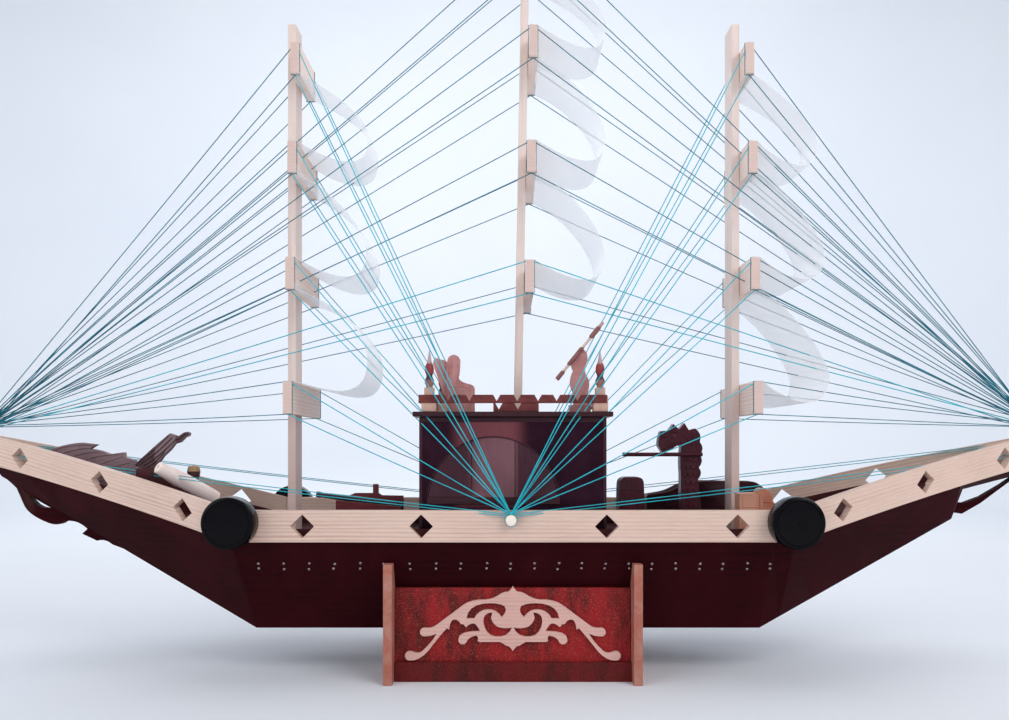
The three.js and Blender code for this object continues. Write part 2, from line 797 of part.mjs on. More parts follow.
function buildRoofGun() {
  const plate = new THREE.Shape();
  plate.moveTo(64, 0);
  plate.lineTo(65, 14);
  plate.quadraticCurveTo(65.5, 20, 63, 24.6);
  plate.quadraticCurveTo(60.8, 29, 61.2, 34);
  plate.quadraticCurveTo(61.6, 39.5, 64.4, 45);
  plate.quadraticCurveTo(62, 49, 62.8, 51);
  plate.quadraticCurveTo(62.5, 58, 66.5, 63.4);
  plate.quadraticCurveTo(71, 68, 75.5, 66.8);
  plate.quadraticCurveTo(80, 64, 79.3, 57.4);
  plate.quadraticCurveTo(79, 52, 76, 47.5);
  plate.quadraticCurveTo(74.8, 45, 76.5, 42);
  plate.quadraticCurveTo(81, 37, 81.3, 31);
  plate.quadraticCurveTo(81.5, 26, 79.5, 21);
  plate.quadraticCurveTo(78.6, 16, 79.5, 12);
  plate.lineTo(80, 0);
  plate.closePath();
  const back = -56;
  const front = -64;
  const wide = GUN.pin + GAP;
  const bore = new THREE.CylinderGeometry(wide, wide, 20, 16);
  const pieces = [
    elevation(plate, back - front, front, 6),
    block(60, 82, front - 6, back + 6, 0, 8),
  ];
  const post = cut(join(...pieces), bore.translate(GUN.x, front, GUN.z));
  onRoof(add("roof_gun_post", post, BROWN));

  // The gun from its breech, as [radius, distance], with a pin at the back that enters the post
  const tube = turned(
    [
      [0, 0],
      [2.2, 0],
      [2.4, 2],
      [2.4, 10],
      [1.5, 11.5],
      [1.5, 19],
      [2.4, 20.5],
      [2.4, 42],
      [1.5, 43.5],
      [1.5, 56],
      [2.6, 58],
      [2.6, 70],
      [1.7, 72],
      [1.7, GUN.length],
      [0, GUN.length],
    ],
    14,
  );
  tube.rotateZ(-Math.PI / 2).translate(-GUN.atPin, 0, 0);
  const pinOut = back - GUN.y - 1;
  const pin = new THREE.CylinderGeometry(GUN.pin, GUN.pin, pinOut, 16);
  const gun = add("roof_gun", join(tube, pin.translate(0, pinOut / 2, 0)), BROWN);
  gun.position.set(GUN.x, GUN.y, ROOF.top + GAP + GUN.z);
  gun.rotation.y = THREE.MathUtils.degToRad(-GUN.tilt);
}

// Things on the deck, with heights over the deck

const onDeck = (mesh) => mesh.position.setZ(RAIL_BOTTOM);

function buildDragon() {
  const plate = new THREE.Shape();
  plate.moveTo(186, 0);
  plate.lineTo(212, 0);
  plate.lineTo(205, 60);
  plate.quadraticCurveTo(211, 66, 206, 73);
  plate.quadraticCurveTo(212, 80, 207, 87);
  plate.quadraticCurveTo(213, 94, 207, 101);
  plate.quadraticCurveTo(210, 110, 202, 116);
  plate.lineTo(195, 114);
  plate.lineTo(190, 122);
  plate.lineTo(184, 115);
  plate.lineTo(178, 121);
  plate.lineTo(173, 114);
  plate.lineTo(164, 113);
  plate.quadraticCurveTo(161, 105, 161, 97);
  plate.lineTo(165.5, 89.5);
  plate.quadraticCurveTo(174, 91, 179, 95);
  plate.quadraticCurveTo(184, 99, 186.5, 96);
  plate.quadraticCurveTo(184.5, 80, 186, 66);
  plate.closePath();
  const y = -20;
  const rod = new THREE.CylinderGeometry(2.2, 2.2, 88, 10);
  const pieces = [
    elevation(plate, 14, y - 7, 4),
    rod.rotateZ(Math.PI / 2).translate(165.5, y - 8, 87.3),
    block(180, 220, y - 14, y + 14, 0, 12),
  ];
  onDeck(add("dragon", join(...pieces), MAROON));
}

function buildCask() {
  const shape = new THREE.Shape();
  shape.moveTo(115.5, 0);
  shape.quadraticCurveTo(112, 28, 113.5, 56);
  shape.quadraticCurveTo(114, 63, 121, 63.5);
  shape.lineTo(133, 63.5);
  shape.quadraticCurveTo(139.5, 63, 139.5, 56);
  shape.quadraticCurveTo(141, 28, 138.5, 0);
  shape.closePath();
  onDeck(add("cask", elevation(shape, 24, -62, 8), MAROON));
}

function buildLongboat() {
  const y = 55;
  const wall = 3;
  const floorLift = 20; // the boat is solid up to its floor
  // Sections of the boat, as distance along it, half width, and heights of bottom and gunwale
  const rows = [
    [160, 12, 6, 38],
    [184, 16, 6, 42],
    [205, 17, 6, 51],
    [225, 17, 6, 54],
    [265, 14, 7, 53.5],
    [288, 8, 14, 53],
    [302, 1.5, 34, 46],
  ];
  const section = ([x, half, low, high]) => ({
    x,
    points: [
      [y - half * 0.6, low],
      [y + half * 0.6, low],
      [y + half, high],
      [y - half, high],
    ],
  });
  const hollow = rows
    .slice(0, -1)
    .map(([x, half, low, high], i) => [
      i === 0 ? x + wall : x,
      half - wall,
      low + floorLift,
      high + 2,
    ]);
  const boat = cut(loft(rows.map(section)), loft(hollow.map(section)));
  const chocks = [185, 262].map((x) => block(x - 4, x + 4, y - 14, y + 14, 0, 12));
  onDeck(add("longboat", join(boat, ...chocks), MAROON));
}

function buildCrate() {
  const box = new THREE.Shape();
  box.moveTo(240.5, 0);
  box.lineTo(265.5, 0);
  box.lineTo(265.5, 36);
  box.quadraticCurveTo(264, 46.5, 258, 46.8);
  box.lineTo(240.5, 46);
  box.closePath();
  const round = new THREE.Shape();
  round.moveTo(263, 0);
  round.lineTo(282, 0);
  round.lineTo(282.5, 34);
  round.quadraticCurveTo(280, 50, 272, 51);
  round.quadraticCurveTo(264, 50, 263, 34);
  round.closePath();
  const pieces = [elevation(box, 19, -64, 6), elevation(round, 20, -45.5, 6)];
  onDeck(add("crate", join(...pieces), ORANGE));
}

const DECK_GUN = { x: -160, y: -20, z: 35.7, tilt: -7.2, pin: 1.2 };

function buildDeckCannon() {
  const near = shapeOf([
    [-194, 0],
    [-122, 0],
    [-122, 30],
    [-194, 37],
  ]);
  const far = shapeOf([
    [-186, 0],
    [-122, 0],
    [-122, 41],
    [-146, 41.5],
    [-150, 44],
    [-176, 44],
    [-186, 40],
  ]);
  const { x, y, z, pin } = DECK_GUN;
  const inner = 6.5; // half the gap between the cheeks
  const thick = 5;
  const pinFrom = y - 5;
  const pinRun = y + inner + thick / 2 - pinFrom;
  const trunnion = new THREE.CylinderGeometry(pin, pin, pinRun, 16);
  const pieces = [
    elevation(near, thick, y - inner - thick),
    elevation(far, thick, y + inner),
    block(-190, -126, y - inner - 1, y + inner + 1, 2, 10),
    block(-126, -122, y - inner - 1, y + inner + 1, 2, 16),
    block(-156, -150, y + inner, y + inner + thick, 38, 54),
    trunnion.translate(x, pinFrom + pinRun / 2, z),
  ];
  onDeck(add("deck_cannon_carriage", join(...pieces), RED_STAIN));

  // The barrel from its breech, as [radius, distance]; it is bored across for the carriage's pin
  const tube = turned(
    [
      [0, -2],
      [2, 0],
      [2, 2],
      [3.8, 3.5],
      [3.8, 42],
      [3.2, 70],
      [2.8, 88],
      [3.4, 89.5],
      [3.4, 94],
      [0, 94],
    ],
    18,
  );
  const atPin = 36;
  tube.rotateZ(Math.PI / 2).translate(atPin, 0, 0);
  const bore = new THREE.CylinderGeometry(pin + GAP, pin + GAP, 20, 20);
  const barrel = add("deck_cannon", cut(tube, bore), BROWN);
  barrel.position.set(x, y, RAIL_BOTTOM + z);
  barrel.rotation.y = THREE.MathUtils.degToRad(-DECK_GUN.tilt);
}

// Things on the rising deck at the stern

const STERN_GUN = { foot: [-332.5, -14, 181.2], muzzle: [-377.7, -60, 218.7], radii: [9.3, 9.3, 6.6] };

// A dark post with a round head behind the log gun; its profile is [radius, height over the foot]
const STERN_POST = {
  x: -358.5,
  y: -8,
  half: 7,
  foot: 173,
  profile: [
    [0, 0],
    [6, 0],
    [5, 4],
    [4.2, 30],
    [6.5, 35],
    [7.2, 41],
    [6, 46],
    [0, 48],
  ],
};

// A log that lies aslant on a block, with its muzzle turned out over the side
function buildSternGun() {
  const { radii } = STERN_GUN;
  const foot = new THREE.Vector3(...STERN_GUN.foot);
  const muzzle = new THREE.Vector3(...STERN_GUN.muzzle);
  const axis = muzzle.clone().sub(foot);
  const run = axis.length();
  const profile = [
    [0, 0],
    [radii[0], 0],
    [radii[1], run * 0.62],
    [radii[2], run],
    [0, run],
  ];
  const turn = new THREE.Quaternion().setFromUnitVectors(new THREE.Vector3(0, 1, 0), axis.normalize());
  const log = turned(profile, 20).applyQuaternion(turn).translate(foot.x, foot.y, foot.z);
  const deck = (x) => deckZ(x) + 0.8;
  const bed = shapeOf([
    [-407, deck(-407)],
    [-336, deck(-336)],
    [-336, 176],
    [-351, 190],
    [-372, 205],
    [-382, 216],
    [-407, 217],
  ]);
  const chock = shapeOf([
    [-345, deck(-345)],
    [-335, deck(-335)],
    [-335, 176],
    [-345, 180],
  ]);
  const pieces = [log, elevation(bed, 14, -47), elevation(chock, 12, -24)];
  add("stern_cannon", join(...pieces), PINE);
}

function buildSternPost() {
  const { x, y, half, foot } = STERN_POST;
  const deck = (at) => deckZ(at) + 0.8;
  const wedge = shapeOf([
    [x - half, deck(x - half)],
    [x + half, deck(x + half)],
    [x + half, foot],
    [x - half, foot],
  ]);
  const post = upright(turned(STERN_POST.profile, 16)).translate(x, y, foot - 1);
  add("stern_post", join(elevation(wedge, 2 * half, y - half), post), MAROON);
}

function buildSternCarvings() {
  const deck = (x) => deckZ(x) + 0.8;
  const tail = shapeOf([
    [-411, deck(-411)],
    [-362, deck(-362)],
    [-385, 213],
    [-391, 220],
    [-384.1, 230],
    [-376.6, 236.9],
    [-371.5, 243.6],
    [-365.6, 245.3],
    [-360, 251],
    [-356.3, 252.1],
    [-355.3, 255],
    [-357, 256.8],
    [-361.4, 255.9],
    [-367.4, 251.7],
    [-376.5, 255.2],
    [-390, 243.8],
    [-415.8, 220.5],
    [-411, 217],
  ]);
  add("stern_tail", elevation(tail, 8, -31), MAROON);

  const wing = new THREE.Shape();
  wing.moveTo(-526, deck(-526));
  wing.lineTo(-523.5, 236.6);
  wing.quadraticCurveTo(-505, 244, -487, 245);
  wing.lineTo(-470, 243);
  wing.lineTo(-478, 238);
  wing.quadraticCurveTo(-466, 237, -455, 232);
  wing.lineTo(-439.5, 234);
  wing.lineTo(-439, 228.6);
  wing.lineTo(-427, 225);
  wing.lineTo(-431, deck(-431));
  wing.lineTo(-470, deck(-470));
  wing.closePath();
  add("stern_wing", elevation(wing, 8, -4, 5), MAROON);
}

buildHull();
buildBulwarks();
buildCradle();
buildCabin();
buildParapet();
RIGS.forEach(buildRig);
buildStays(-1, RIGS[0], "stays_stern");
buildStays(1, RIGS[2], "stays_bow");
buildSeat();
buildRoofGun();
buildDragon();
buildCask();
buildLongboat();
buildCrate();
buildDeckCannon();
buildSternGun();
buildSternPost();
buildSternCarvings();

export default ship;
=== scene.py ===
"""Wooden model of a three-masted junk, in its cradle. Metres, +Z up, +X towards the bow."""
import math
import random

import bmesh
import bpy
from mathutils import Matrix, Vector


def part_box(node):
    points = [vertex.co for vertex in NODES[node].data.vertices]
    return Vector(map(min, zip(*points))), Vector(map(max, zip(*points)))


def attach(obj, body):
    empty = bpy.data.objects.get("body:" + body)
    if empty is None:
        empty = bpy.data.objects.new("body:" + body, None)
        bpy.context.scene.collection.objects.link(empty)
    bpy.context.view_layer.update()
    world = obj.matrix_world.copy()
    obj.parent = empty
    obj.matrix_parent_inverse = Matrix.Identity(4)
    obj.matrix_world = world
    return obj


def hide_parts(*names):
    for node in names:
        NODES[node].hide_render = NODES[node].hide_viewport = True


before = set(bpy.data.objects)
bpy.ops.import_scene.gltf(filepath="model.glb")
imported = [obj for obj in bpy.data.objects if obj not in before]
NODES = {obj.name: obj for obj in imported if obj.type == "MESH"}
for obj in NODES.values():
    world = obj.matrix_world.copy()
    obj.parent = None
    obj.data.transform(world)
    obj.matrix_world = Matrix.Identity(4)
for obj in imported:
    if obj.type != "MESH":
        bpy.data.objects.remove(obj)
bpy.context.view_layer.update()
SHIP = "ship_and_cradle"
MM = 0.001


def add_object(name, data):
    made = bpy.data.objects.new(name, data)
    bpy.context.scene.collection.objects.link(made)
    return made


# Camera, at the photograph's place

CAMERA_AT = (-0.007, -0.965, 0.240)
SENSOR = 36.0
# In pixels of the photograph: its size, the focal length and the point straight ahead of the camera
PHOTO_WIDTH, PHOTO_HEIGHT = 1009, 720
FOCAL = 850
AHEAD_X, AHEAD_Y = 506, 447


def make_camera():
    data = bpy.data.cameras.new("camera")
    data.sensor_width = SENSOR
    data.lens = FOCAL / PHOTO_WIDTH * SENSOR
    data.shift_x = (PHOTO_WIDTH / 2 - AHEAD_X) / PHOTO_WIDTH
    data.shift_y = (AHEAD_Y - PHOTO_HEIGHT / 2) / PHOTO_WIDTH
    data.clip_start = 0.01
    data.clip_end = 50
    camera = add_object("camera", data)
    camera.location = CAMERA_AT
    camera.rotation_euler = (math.pi / 2, 0, 0)
    bpy.context.scene.camera = camera


make_camera()

# Lines of the hull, as the frame has them

FOOT_Z = 144.5  # millimetres: where the bulwarks and the figures stand amidships
MID_HALF = 284 * MM
END_RUN = 335 * MM
TOP_HALF = 110 * MM
KEEL_Z = 48 * MM
BOTTOM_HALF = 62 * MM
DECK_TOP = FOOT_Z * MM - 0.3 * MM


def end_share(x):
    """How far along an end of the hull a place is, from 0 amidships to 1 at the tip."""
    return max(0.0, (abs(x) - MID_HALF) / END_RUN)


def deck_z(x):
    t = end_share(x)
    return DECK_TOP + (98 * t - 15 * t * t) * MM


def top_half(x):
    return TOP_HALF * (1 - end_share(x))


# Both ends and both sides of the ship, with the words that names use for them
ENDS = ((-1, "stern"), (1, "bow"))
SIDES = ((-1, "starboard"), (1, "port"))

# Building blocks for pieces


def at(x, y, z):
    """A point given in millimetres."""
    return Vector((x, y, z)) * MM


def piece(name, bm, material, body=SHIP, replaces=(), sharp=35):
    """An object from a bmesh, which rides on a body. Edges under the angle sharp are smooth."""
    bmesh.ops.recalc_face_normals(bm, faces=bm.faces)
    mesh = bpy.data.meshes.new(name)
    bm.to_mesh(mesh)
    bm.free()
    mesh.shade_smooth()
    mesh.set_sharp_from_angle(angle=math.radians(sharp))
    mesh.materials.append(material)
    made = add_object(name, mesh)
    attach(made, body)
    if replaces:
        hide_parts(*replaces)
    return made


def add_ring(bm, centre, right, up, radius, sides):
    turn = 2 * math.pi / sides
    return [
        bm.verts.new(centre + radius * (math.cos(i * turn) * right + math.sin(i * turn) * up))
        for i in range(sides)
    ]


def bridge(bm, low, high):
    count = len(low)
    for i in range(count):
        bm.faces.new((low[i], low[(i + 1) % count], high[(i + 1) % count], high[i]))


def skin(bm, rings):
    """Faces between the rings of a row, and over its first and last one."""
    for low, high in zip(rings, rings[1:]):
        bridge(bm, low, high)
    bm.faces.new(rings[0][::-1])
    bm.faces.new(rings[-1])


def across(direction):
    """Two unit vectors square to a direction."""
    side = direction.cross(Vector((0, 0, 1)))
    if side.length < 1e-3:
        side = direction.cross(Vector((1, 0, 0)))
    side.normalize()
    return side, side.cross(direction).normalized()


def add_tube(bm, points, radius, sides=6):
    """A round tube through points, with closed ends."""
    rings = []
    for i, point in enumerate(points):
        before = points[max(0, i - 1)]
        after = points[min(len(points) - 1, i + 1)]
        right, up = across((after - before).normalized())
        rings.append(add_ring(bm, point, right, up, radius, sides))
    skin(bm, rings)


def add_hoop(bm, centre, axis, radius, thick, steps=28, sides=6):
    """A closed ring of round section."""
    right, up = across(axis)
    rings = []
    for i in range(steps):
        turn = 2 * math.pi * i / steps
        out = math.cos(turn) * right + math.sin(turn) * up
        rings.append(add_ring(bm, centre + radius * out, out, axis, thick, sides))
    for i in range(steps):
        bridge(bm, rings[i], rings[(i + 1) % steps])


def add_turned(bm, profile, base, direction, sides, unit=MM):
    """A turned solid: profile lists (radius, height along the direction), both in the unit."""
    right, up = across(direction)
    rings = []
    for radius, height in profile:
        centre = base + direction * (height * unit)
        if radius:
            rings.append(add_ring(bm, centre, right, up, radius * unit, sides))
        else:
            rings.append([bm.verts.new(centre)])
    for low, high in zip(rings, rings[1:]):
        for i in range(sides):
            a = low[i % len(low)]
            b = low[(i + 1) % len(low)]
            c = high[(i + 1) % len(high)]
            d = high[i % len(high)]
            bm.faces.new(dict.fromkeys((a, b, c, d)))


def add_section_run(bm, sections):
    """A closed body through sections, each a list of points of the same length."""
    skin(bm, [[bm.verts.new(p) for p in section] for section in sections])


def add_box(bm, low, high, e=0.4):
    """A board between two corners, with edges eased by e, all in millimetres."""
    x0, y0, z0 = low
    x1, y1, z1 = high

    def loop(z, inset):
        a, b, c, d = x0 + inset, x1 - inset, y0 + inset, y1 - inset
        return [at(a + e, c, z), at(b - e, c, z), at(b, c + e, z), at(b, d - e, z),
                at(b - e, d, z), at(a + e, d, z), at(a, d - e, z), at(a, c + e, z)]

    add_section_run(bm, [loop(z0, e), loop(z0 + e, 0), loop(z1 - e, 0), loop(z1, e)])


def smooth_through(points, steps=6):
    """Points of a Catmull-Rom curve through the given ones."""
    made = []
    last = len(points) - 1
    for i in range(last):
        p0, p1 = points[max(0, i - 1)], points[i]
        p2, p3 = points[i + 1], points[min(last, i + 2)]
        for k in range(steps):
            t = k / steps
            made.append(
                0.5 * (2 * p1 + (p2 - p0) * t + (2 * p0 - 5 * p1 + 4 * p2 - p3) * t * t
                       + (3 * p1 - p0 - 3 * p2 + p3) * t**3)
            )
    made.append(points[last])
    return made


# Materials


class Look:
    """A procedural material that is built around one Principled shader."""

    def __init__(self, name):
        self.material = bpy.data.materials.new(name)
        self.material.use_nodes = True
        self.tree = self.material.node_tree
        self.shader = self.tree.nodes["Principled BSDF"]
        self.coords = self.new("ShaderNodeTexCoord").outputs["Object"]

    def feed(self, socket, value):
        """Joins another socket to this one, or sets it to a number or an (r, g, b) colour."""
        if isinstance(value, bpy.types.NodeSocket):
            self.tree.links.new(value, socket)
        else:
            socket.default_value = (*value, 1) if hasattr(value, "__len__") else value

    def new(self, kind, **inputs):
        """A node with its inputs fed, where an underscore stands for the space in an input's name."""
        node = self.tree.nodes.new(kind)
        for name, value in inputs.items():
            self.feed(node.inputs[name.replace("_", " ")], value)
        return node

    def grained(self, stretch, turn):
        """Coordinates along a turned X axis, squeezed along it by stretch."""
        node = self.new("ShaderNodeMapping", Vector=self.coords)
        node.vector_type = "TEXTURE"
        node.inputs["Rotation"].default_value = turn
        node.inputs["Scale"].default_value = (stretch, 1, 1)
        return node.outputs["Vector"]

    def noise(self, vector, scale, detail=3.0, roughness=0.55, distortion=0.0):
        node = self.new("ShaderNodeTexNoise", Vector=vector, Scale=scale, Detail=detail,
                        Roughness=roughness, Distortion=distortion)
        return node.outputs["Fac"]

    def bands(self, vector, gap, distortion, direction):
        """Wavy bands across a direction, at a gap in metres."""
        node = self.new("ShaderNodeTexWave", Vector=vector, Scale=0.314 / gap, Distortion=distortion,
                        Detail=3.0, Detail_Scale=1.1)
        node.bands_direction = direction
        return node.outputs["Fac"]

    def ramp(self, fac, *stops):
        """Stops are (place, value), where the value is a number or an (r, g, b) colour."""
        node = self.new("ShaderNodeValToRGB", Fac=fac)
        elements = node.color_ramp.elements
        while len(elements) < len(stops):
            elements.new(0.5)
        for element, (place, value) in zip(elements, stops):
            element.position = place
            colour = value if hasattr(value, "__len__") else (value,) * 3
            element.color = (*colour, 1)
        return node.outputs["Color"]

    def mix(self, fac, a, b):
        """Colours a and b are sockets or (r, g, b); fac is a socket or a number."""
        node = self.new("ShaderNodeMix")
        node.data_type = "RGBA"
        for place, value in ((0, fac), (6, a), (7, b)):
            self.feed(node.inputs[place], value)
        return node.outputs[2]

    def calculate(self, operation, *values):
        node = self.new("ShaderNodeMath")
        node.operation = operation
        for socket, value in zip(node.inputs, values):
            self.feed(socket, value)
        return node.outputs[0]

    def sum(self, a, b, share):
        """a + share * b, for heights."""
        return self.calculate("MULTIPLY_ADD", b, share, a)

    def times(self, a, b):
        return self.calculate("MULTIPLY", a, b)

    def along(self, axis, vector):
        """One coordinate of a vector."""
        return self.new("ShaderNodeSeparateXYZ", Vector=vector).outputs[axis]

    def step(self, value, low, high):
        """A smooth step of a value in metres, from 0 at low to 1 at high, both in millimetres."""
        node = self.new("ShaderNodeMapRange", Value=value, From_Min=low * MM, From_Max=high * MM)
        node.interpolation_type = "SMOOTHSTEP"
        return node.outputs["Result"]

    def window(self, axis, low, high, soft):
        """1 between two places along an axis, fading to 0 over twice soft at both; all in millimetres."""
        value = self.along(axis, self.coords)
        before = self.calculate("SUBTRACT", 1.0, self.step(value, high - soft, high + soft))
        return self.times(self.step(value, low - soft, low + soft), before)

    def facing_y(self):
        """1 on the faces that look along the Y axis, either way."""
        facing = self.along("Y", self.new("ShaderNodeTexCoord").outputs["Normal"])
        return self.ramp(self.times(facing, facing), (0.4, 0.0), (0.6, 1.0))

    def bump(self, height, distance, strength):
        node = self.new("ShaderNodeBump", Height=height, Distance=distance, Strength=strength)
        self.feed(self.shader.inputs["Normal"], node.outputs["Normal"])

    def finish(self, colour, roughness, coat=0.0, specular=0.5):
        self.feed(self.shader.inputs["Base Color"], colour)
        self.feed(self.shader.inputs["Roughness"], roughness)
        self.shader.inputs["Specular IOR Level"].default_value = specular
        self.shader.inputs["Coat Weight"].default_value = coat
        self.shader.inputs["Coat Roughness"].default_value = 0.18
        return self.material


ALONG_X = (0, 0, 0)
ALONG_Y = (0, 0, math.pi / 2)
ALONG_Z = (0, math.pi / 2, 0)
STRETCH = 26.0  # how much longer than wide the figure of the wood is


def wood(name, light, dark, turn, gap, rough, stain=None, patch=38, coat=0.0, specular=0.4,
         zones=(), sawn=None):
    """Sawn softwood with its grain along a turned X axis. gap is the spacing of its growth lines in metres.
    stain is a second colour that lies on it in soft patches, and patch says how many to a metre.
    Each zone is a colour with the windows it fills, and sawn colours the ends sawn across the Y axis."""
    look = Look(name)
    vector = look.grained(STRETCH, turn)
    growth_bands = look.bands(vector, gap, 5.0, "Y" if turn == ALONG_Z else "Z")
    lines = look.ramp(growth_bands, (0.0, 0.0), (0.66, 0.04), (0.92, 0.9), (1.0, 0.5))
    growth = look.times(lines, look.ramp(look.noise(vector, 45, 2.0), (0.35, 0.2), (0.68, 1.0)))
    fibres = look.noise(vector, 1700, 3.0, 0.7)
    drift = look.noise(look.coords, 14, 3.0)
    colour = look.mix(growth, light, dark)
    colour = look.mix(look.ramp(fibres, (0.42, 0.0), (0.78, 0.45)), colour, dark)
    pale = tuple(min(1.0, c * 1.12) for c in light)
    colour = look.mix(look.ramp(drift, (0.35, 0.0), (0.7, 0.4)), colour, pale)
    if stain:
        patches = look.noise(look.coords, patch, 5.0, 0.68, 0.5)
        colour = look.mix(look.ramp(patches, (0.40, 0.0), (0.66, 0.8)), colour, stain)
    for tint, windows in zones:
        share = look.window(*windows[0])
        for window in windows[1:]:
            share = look.times(share, look.window(*window))
        colour = look.mix(look.times(share, look.ramp(fibres, (0.2, 1.0), (0.9, 0.6))), colour, tint)
    if sawn:
        colour = look.mix(look.facing_y(), colour, look.mix(growth, sawn, dark))
    look.bump(look.sum(fibres, growth, 0.12), 0.00015, 0.5)
    worn = look.ramp(fibres, (0.3, rough - 0.07), (0.8, min(1.0, rough + 0.1)))
    return look.finish(colour, worn, coat, specular)


def board_turn(run, side, climb):
    """The turn of an end board, from its run, its swing across and its climb."""
    return tuple(Vector((run, side, climb)).to_track_quat("X", "Z").to_euler())


PINE = (0.75, 0.55, 0.45)
PINE_LINES = (0.46, 0.255, 0.19)
PINE_X = wood("pine_boards", PINE, PINE_LINES, ALONG_X, 0.0038, 0.5)
END_PINE = {
    f"{word}_{hand}": wood(f"pine_{word}_{hand}", PINE, PINE_LINES,
                           board_turn(335, -end * side * 110, end * 83), 0.0038, 0.5)
    for end, word in ENDS for side, hand in SIDES
}
# Masts: the darker, warmer zone up to 285 mm is painted shade on their lower part.
PINE_Z = wood("pine_masts", (0.82, 0.67, 0.60), (0.58, 0.41, 0.34), ALONG_Z, 0.0044, 0.55,
              zones=[((0.66, 0.47, 0.42), [("Z", 0, 285, 45)])])
PINE_FRET = wood("pine_fretwork", (0.70, 0.42, 0.36), (0.48, 0.23, 0.185), ALONG_X, 0.0038, 0.5)
# Yards: the same pine as the boards, painted lighter to make up for the shade the sails cast on them; that
# extra lightness is painted light.
PINE_Y = wood("pine_yards", (0.95, 0.75, 0.66), (0.70, 0.47, 0.39), ALONG_Y, 0.0040, 0.55,
              sawn=(0.70, 0.52, 0.46))
PINE_LOG = wood("pine_log", (0.97, 0.85, 0.80), (0.84, 0.66, 0.60), board_turn(-45, -46, 37.5), 0.0036, 0.5,
                (0.90, 0.68, 0.62), 30)
PINE_END = wood("pine_end", (0.96, 0.86, 0.74), (0.86, 0.68, 0.54), board_turn(46, -45, 0), 0.0024, 0.55)
HULL_PAINT = wood("maroon_hull", (0.0255, 0.0021, 0.0035), (0.0095, 0.0009, 0.0015), ALONG_X, 0.008, 0.55,
                  (0.040, 0.0034, 0.0056), 9, specular=0.04,
                  zones=[((0.055, 0.020, 0.018), [("X", -600, -541, 4), ("Y", -6, 6, 1),
                                                  ("Z", 140, 205, 3)])])
DECK_PAINT = wood("maroon_deck", (0.060, 0.015, 0.016), (0.026, 0.006, 0.007), ALONG_X, 0.006, 0.7,
                  specular=0.1)
DARK_X = wood("maroon_boards", (0.036, 0.009, 0.012), (0.013, 0.0035, 0.005), ALONG_X, 0.006, 0.42,
              (0.052, 0.014, 0.021), 30, specular=0.22)
# Cabin: the lighter red zone on the front wall round the top of the doorway is partly the door surround's
# own colour and partly a painted reflection.
CABIN_STAIN = wood("maroon_cabin", (0.026, 0.0062, 0.0145), (0.010, 0.0026, 0.0062), ALONG_Z, 0.009, 0.5,
                   (0.034, 0.0095, 0.022), 22, 0.0, 0.05,
                   [((0.195, 0.058, 0.068), [("X", -58, 8, 11), ("Z", 180, 275, 6), ("Y", -99, -80, 1)])])
DARK_CARVED = wood("maroon_carved", (0.075, 0.0085, 0.017), (0.028, 0.0035, 0.0070), ALONG_Z, 0.005, 0.4,
                   (0.034, 0.006, 0.012), 40, 0.12, 0.15)
RED_X = wood("red_rails", (0.120, 0.0155, 0.0155), (0.055, 0.007, 0.008), ALONG_X, 0.004, 0.45,
             (0.19, 0.042, 0.033), 70, 0.08, 0.3)
# Doors: the dark zone at their left, from X -90 to -41 mm, is painted shade.
DOOR_RED = wood("red_doors", (0.185, 0.080, 0.094), (0.115, 0.043, 0.050), ALONG_Z, 0.005, 0.5,
                (0.215, 0.104, 0.118), 26, 0.0, 0.1,
                [((0.034, 0.009, 0.017), [("X", -90, -41, 9)]),
                 ((0.034, 0.0085, 0.018), [("X", 4, 50, 3)])])
PLATE_RED = wood("red_plates", (0.41, 0.122, 0.080), (0.26, 0.058, 0.040), ALONG_Z, 0.004, 0.6,
                 (0.47, 0.23, 0.18), 60)
BROWN_Z = wood("brown_figures", (0.52, 0.220, 0.205), (0.36, 0.125, 0.115), ALONG_Z, 0.003, 0.55,
               (0.61, 0.32, 0.30), 60)
GUN_Z = wood("brown_gun", (0.24, 0.085, 0.078), (0.14, 0.040, 0.038), ALONG_Z, 0.003, 0.5,
             (0.30, 0.12, 0.11), 60,
             zones=[((0.76, 0.60, 0.50), [("Z", 320.4, 326.4, 0.3)]),
                    ((0.76, 0.60, 0.50), [("Z", 345.2, 355.0, 0.3)]),
                    ((0.55, 0.34, 0.30), [("Z", 367, 380, 0.3)])])
BARREL = wood("maroon_barrel", (0.052, 0.012, 0.015), (0.022, 0.005, 0.007), ALONG_X, 0.003, 0.4,
              coat=0.15, specular=0.3)
CARRIAGE = wood("red_carriage", (0.165, 0.020, 0.025), (0.075, 0.0085, 0.012), ALONG_X, 0.004, 0.45,
                (0.10, 0.010, 0.015), 50, 0.1, 0.3)
BED = wood("maroon_bed", (0.075, 0.0105, 0.014), (0.034, 0.005, 0.007), ALONG_X, 0.004, 0.45,
           (0.045, 0.007, 0.010), 50, 0.1, 0.25)
ORANGE_X = wood("orange_crate", (0.53, 0.185, 0.105), (0.36, 0.095, 0.055), ALONG_X, 0.0034, 0.5,
                (0.58, 0.27, 0.18), 60,
                zones=[((0.62, 0.31, 0.21), [("X", 236, 259, 3), ("Z", 150, 200, 3)])])
TAN_Z = wood("tan_posts", (0.60, 0.355, 0.265), (0.45, 0.220, 0.155), ALONG_Z, 0.003, 0.55,
             (0.64, 0.42, 0.33), 70)
GREY_X = wood("grey_feathers", (0.21, 0.125, 0.14), (0.10, 0.048, 0.06), board_turn(100, 0, 14), 0.005, 0.48,
              (0.30, 0.19, 0.20), 30, 0.1)
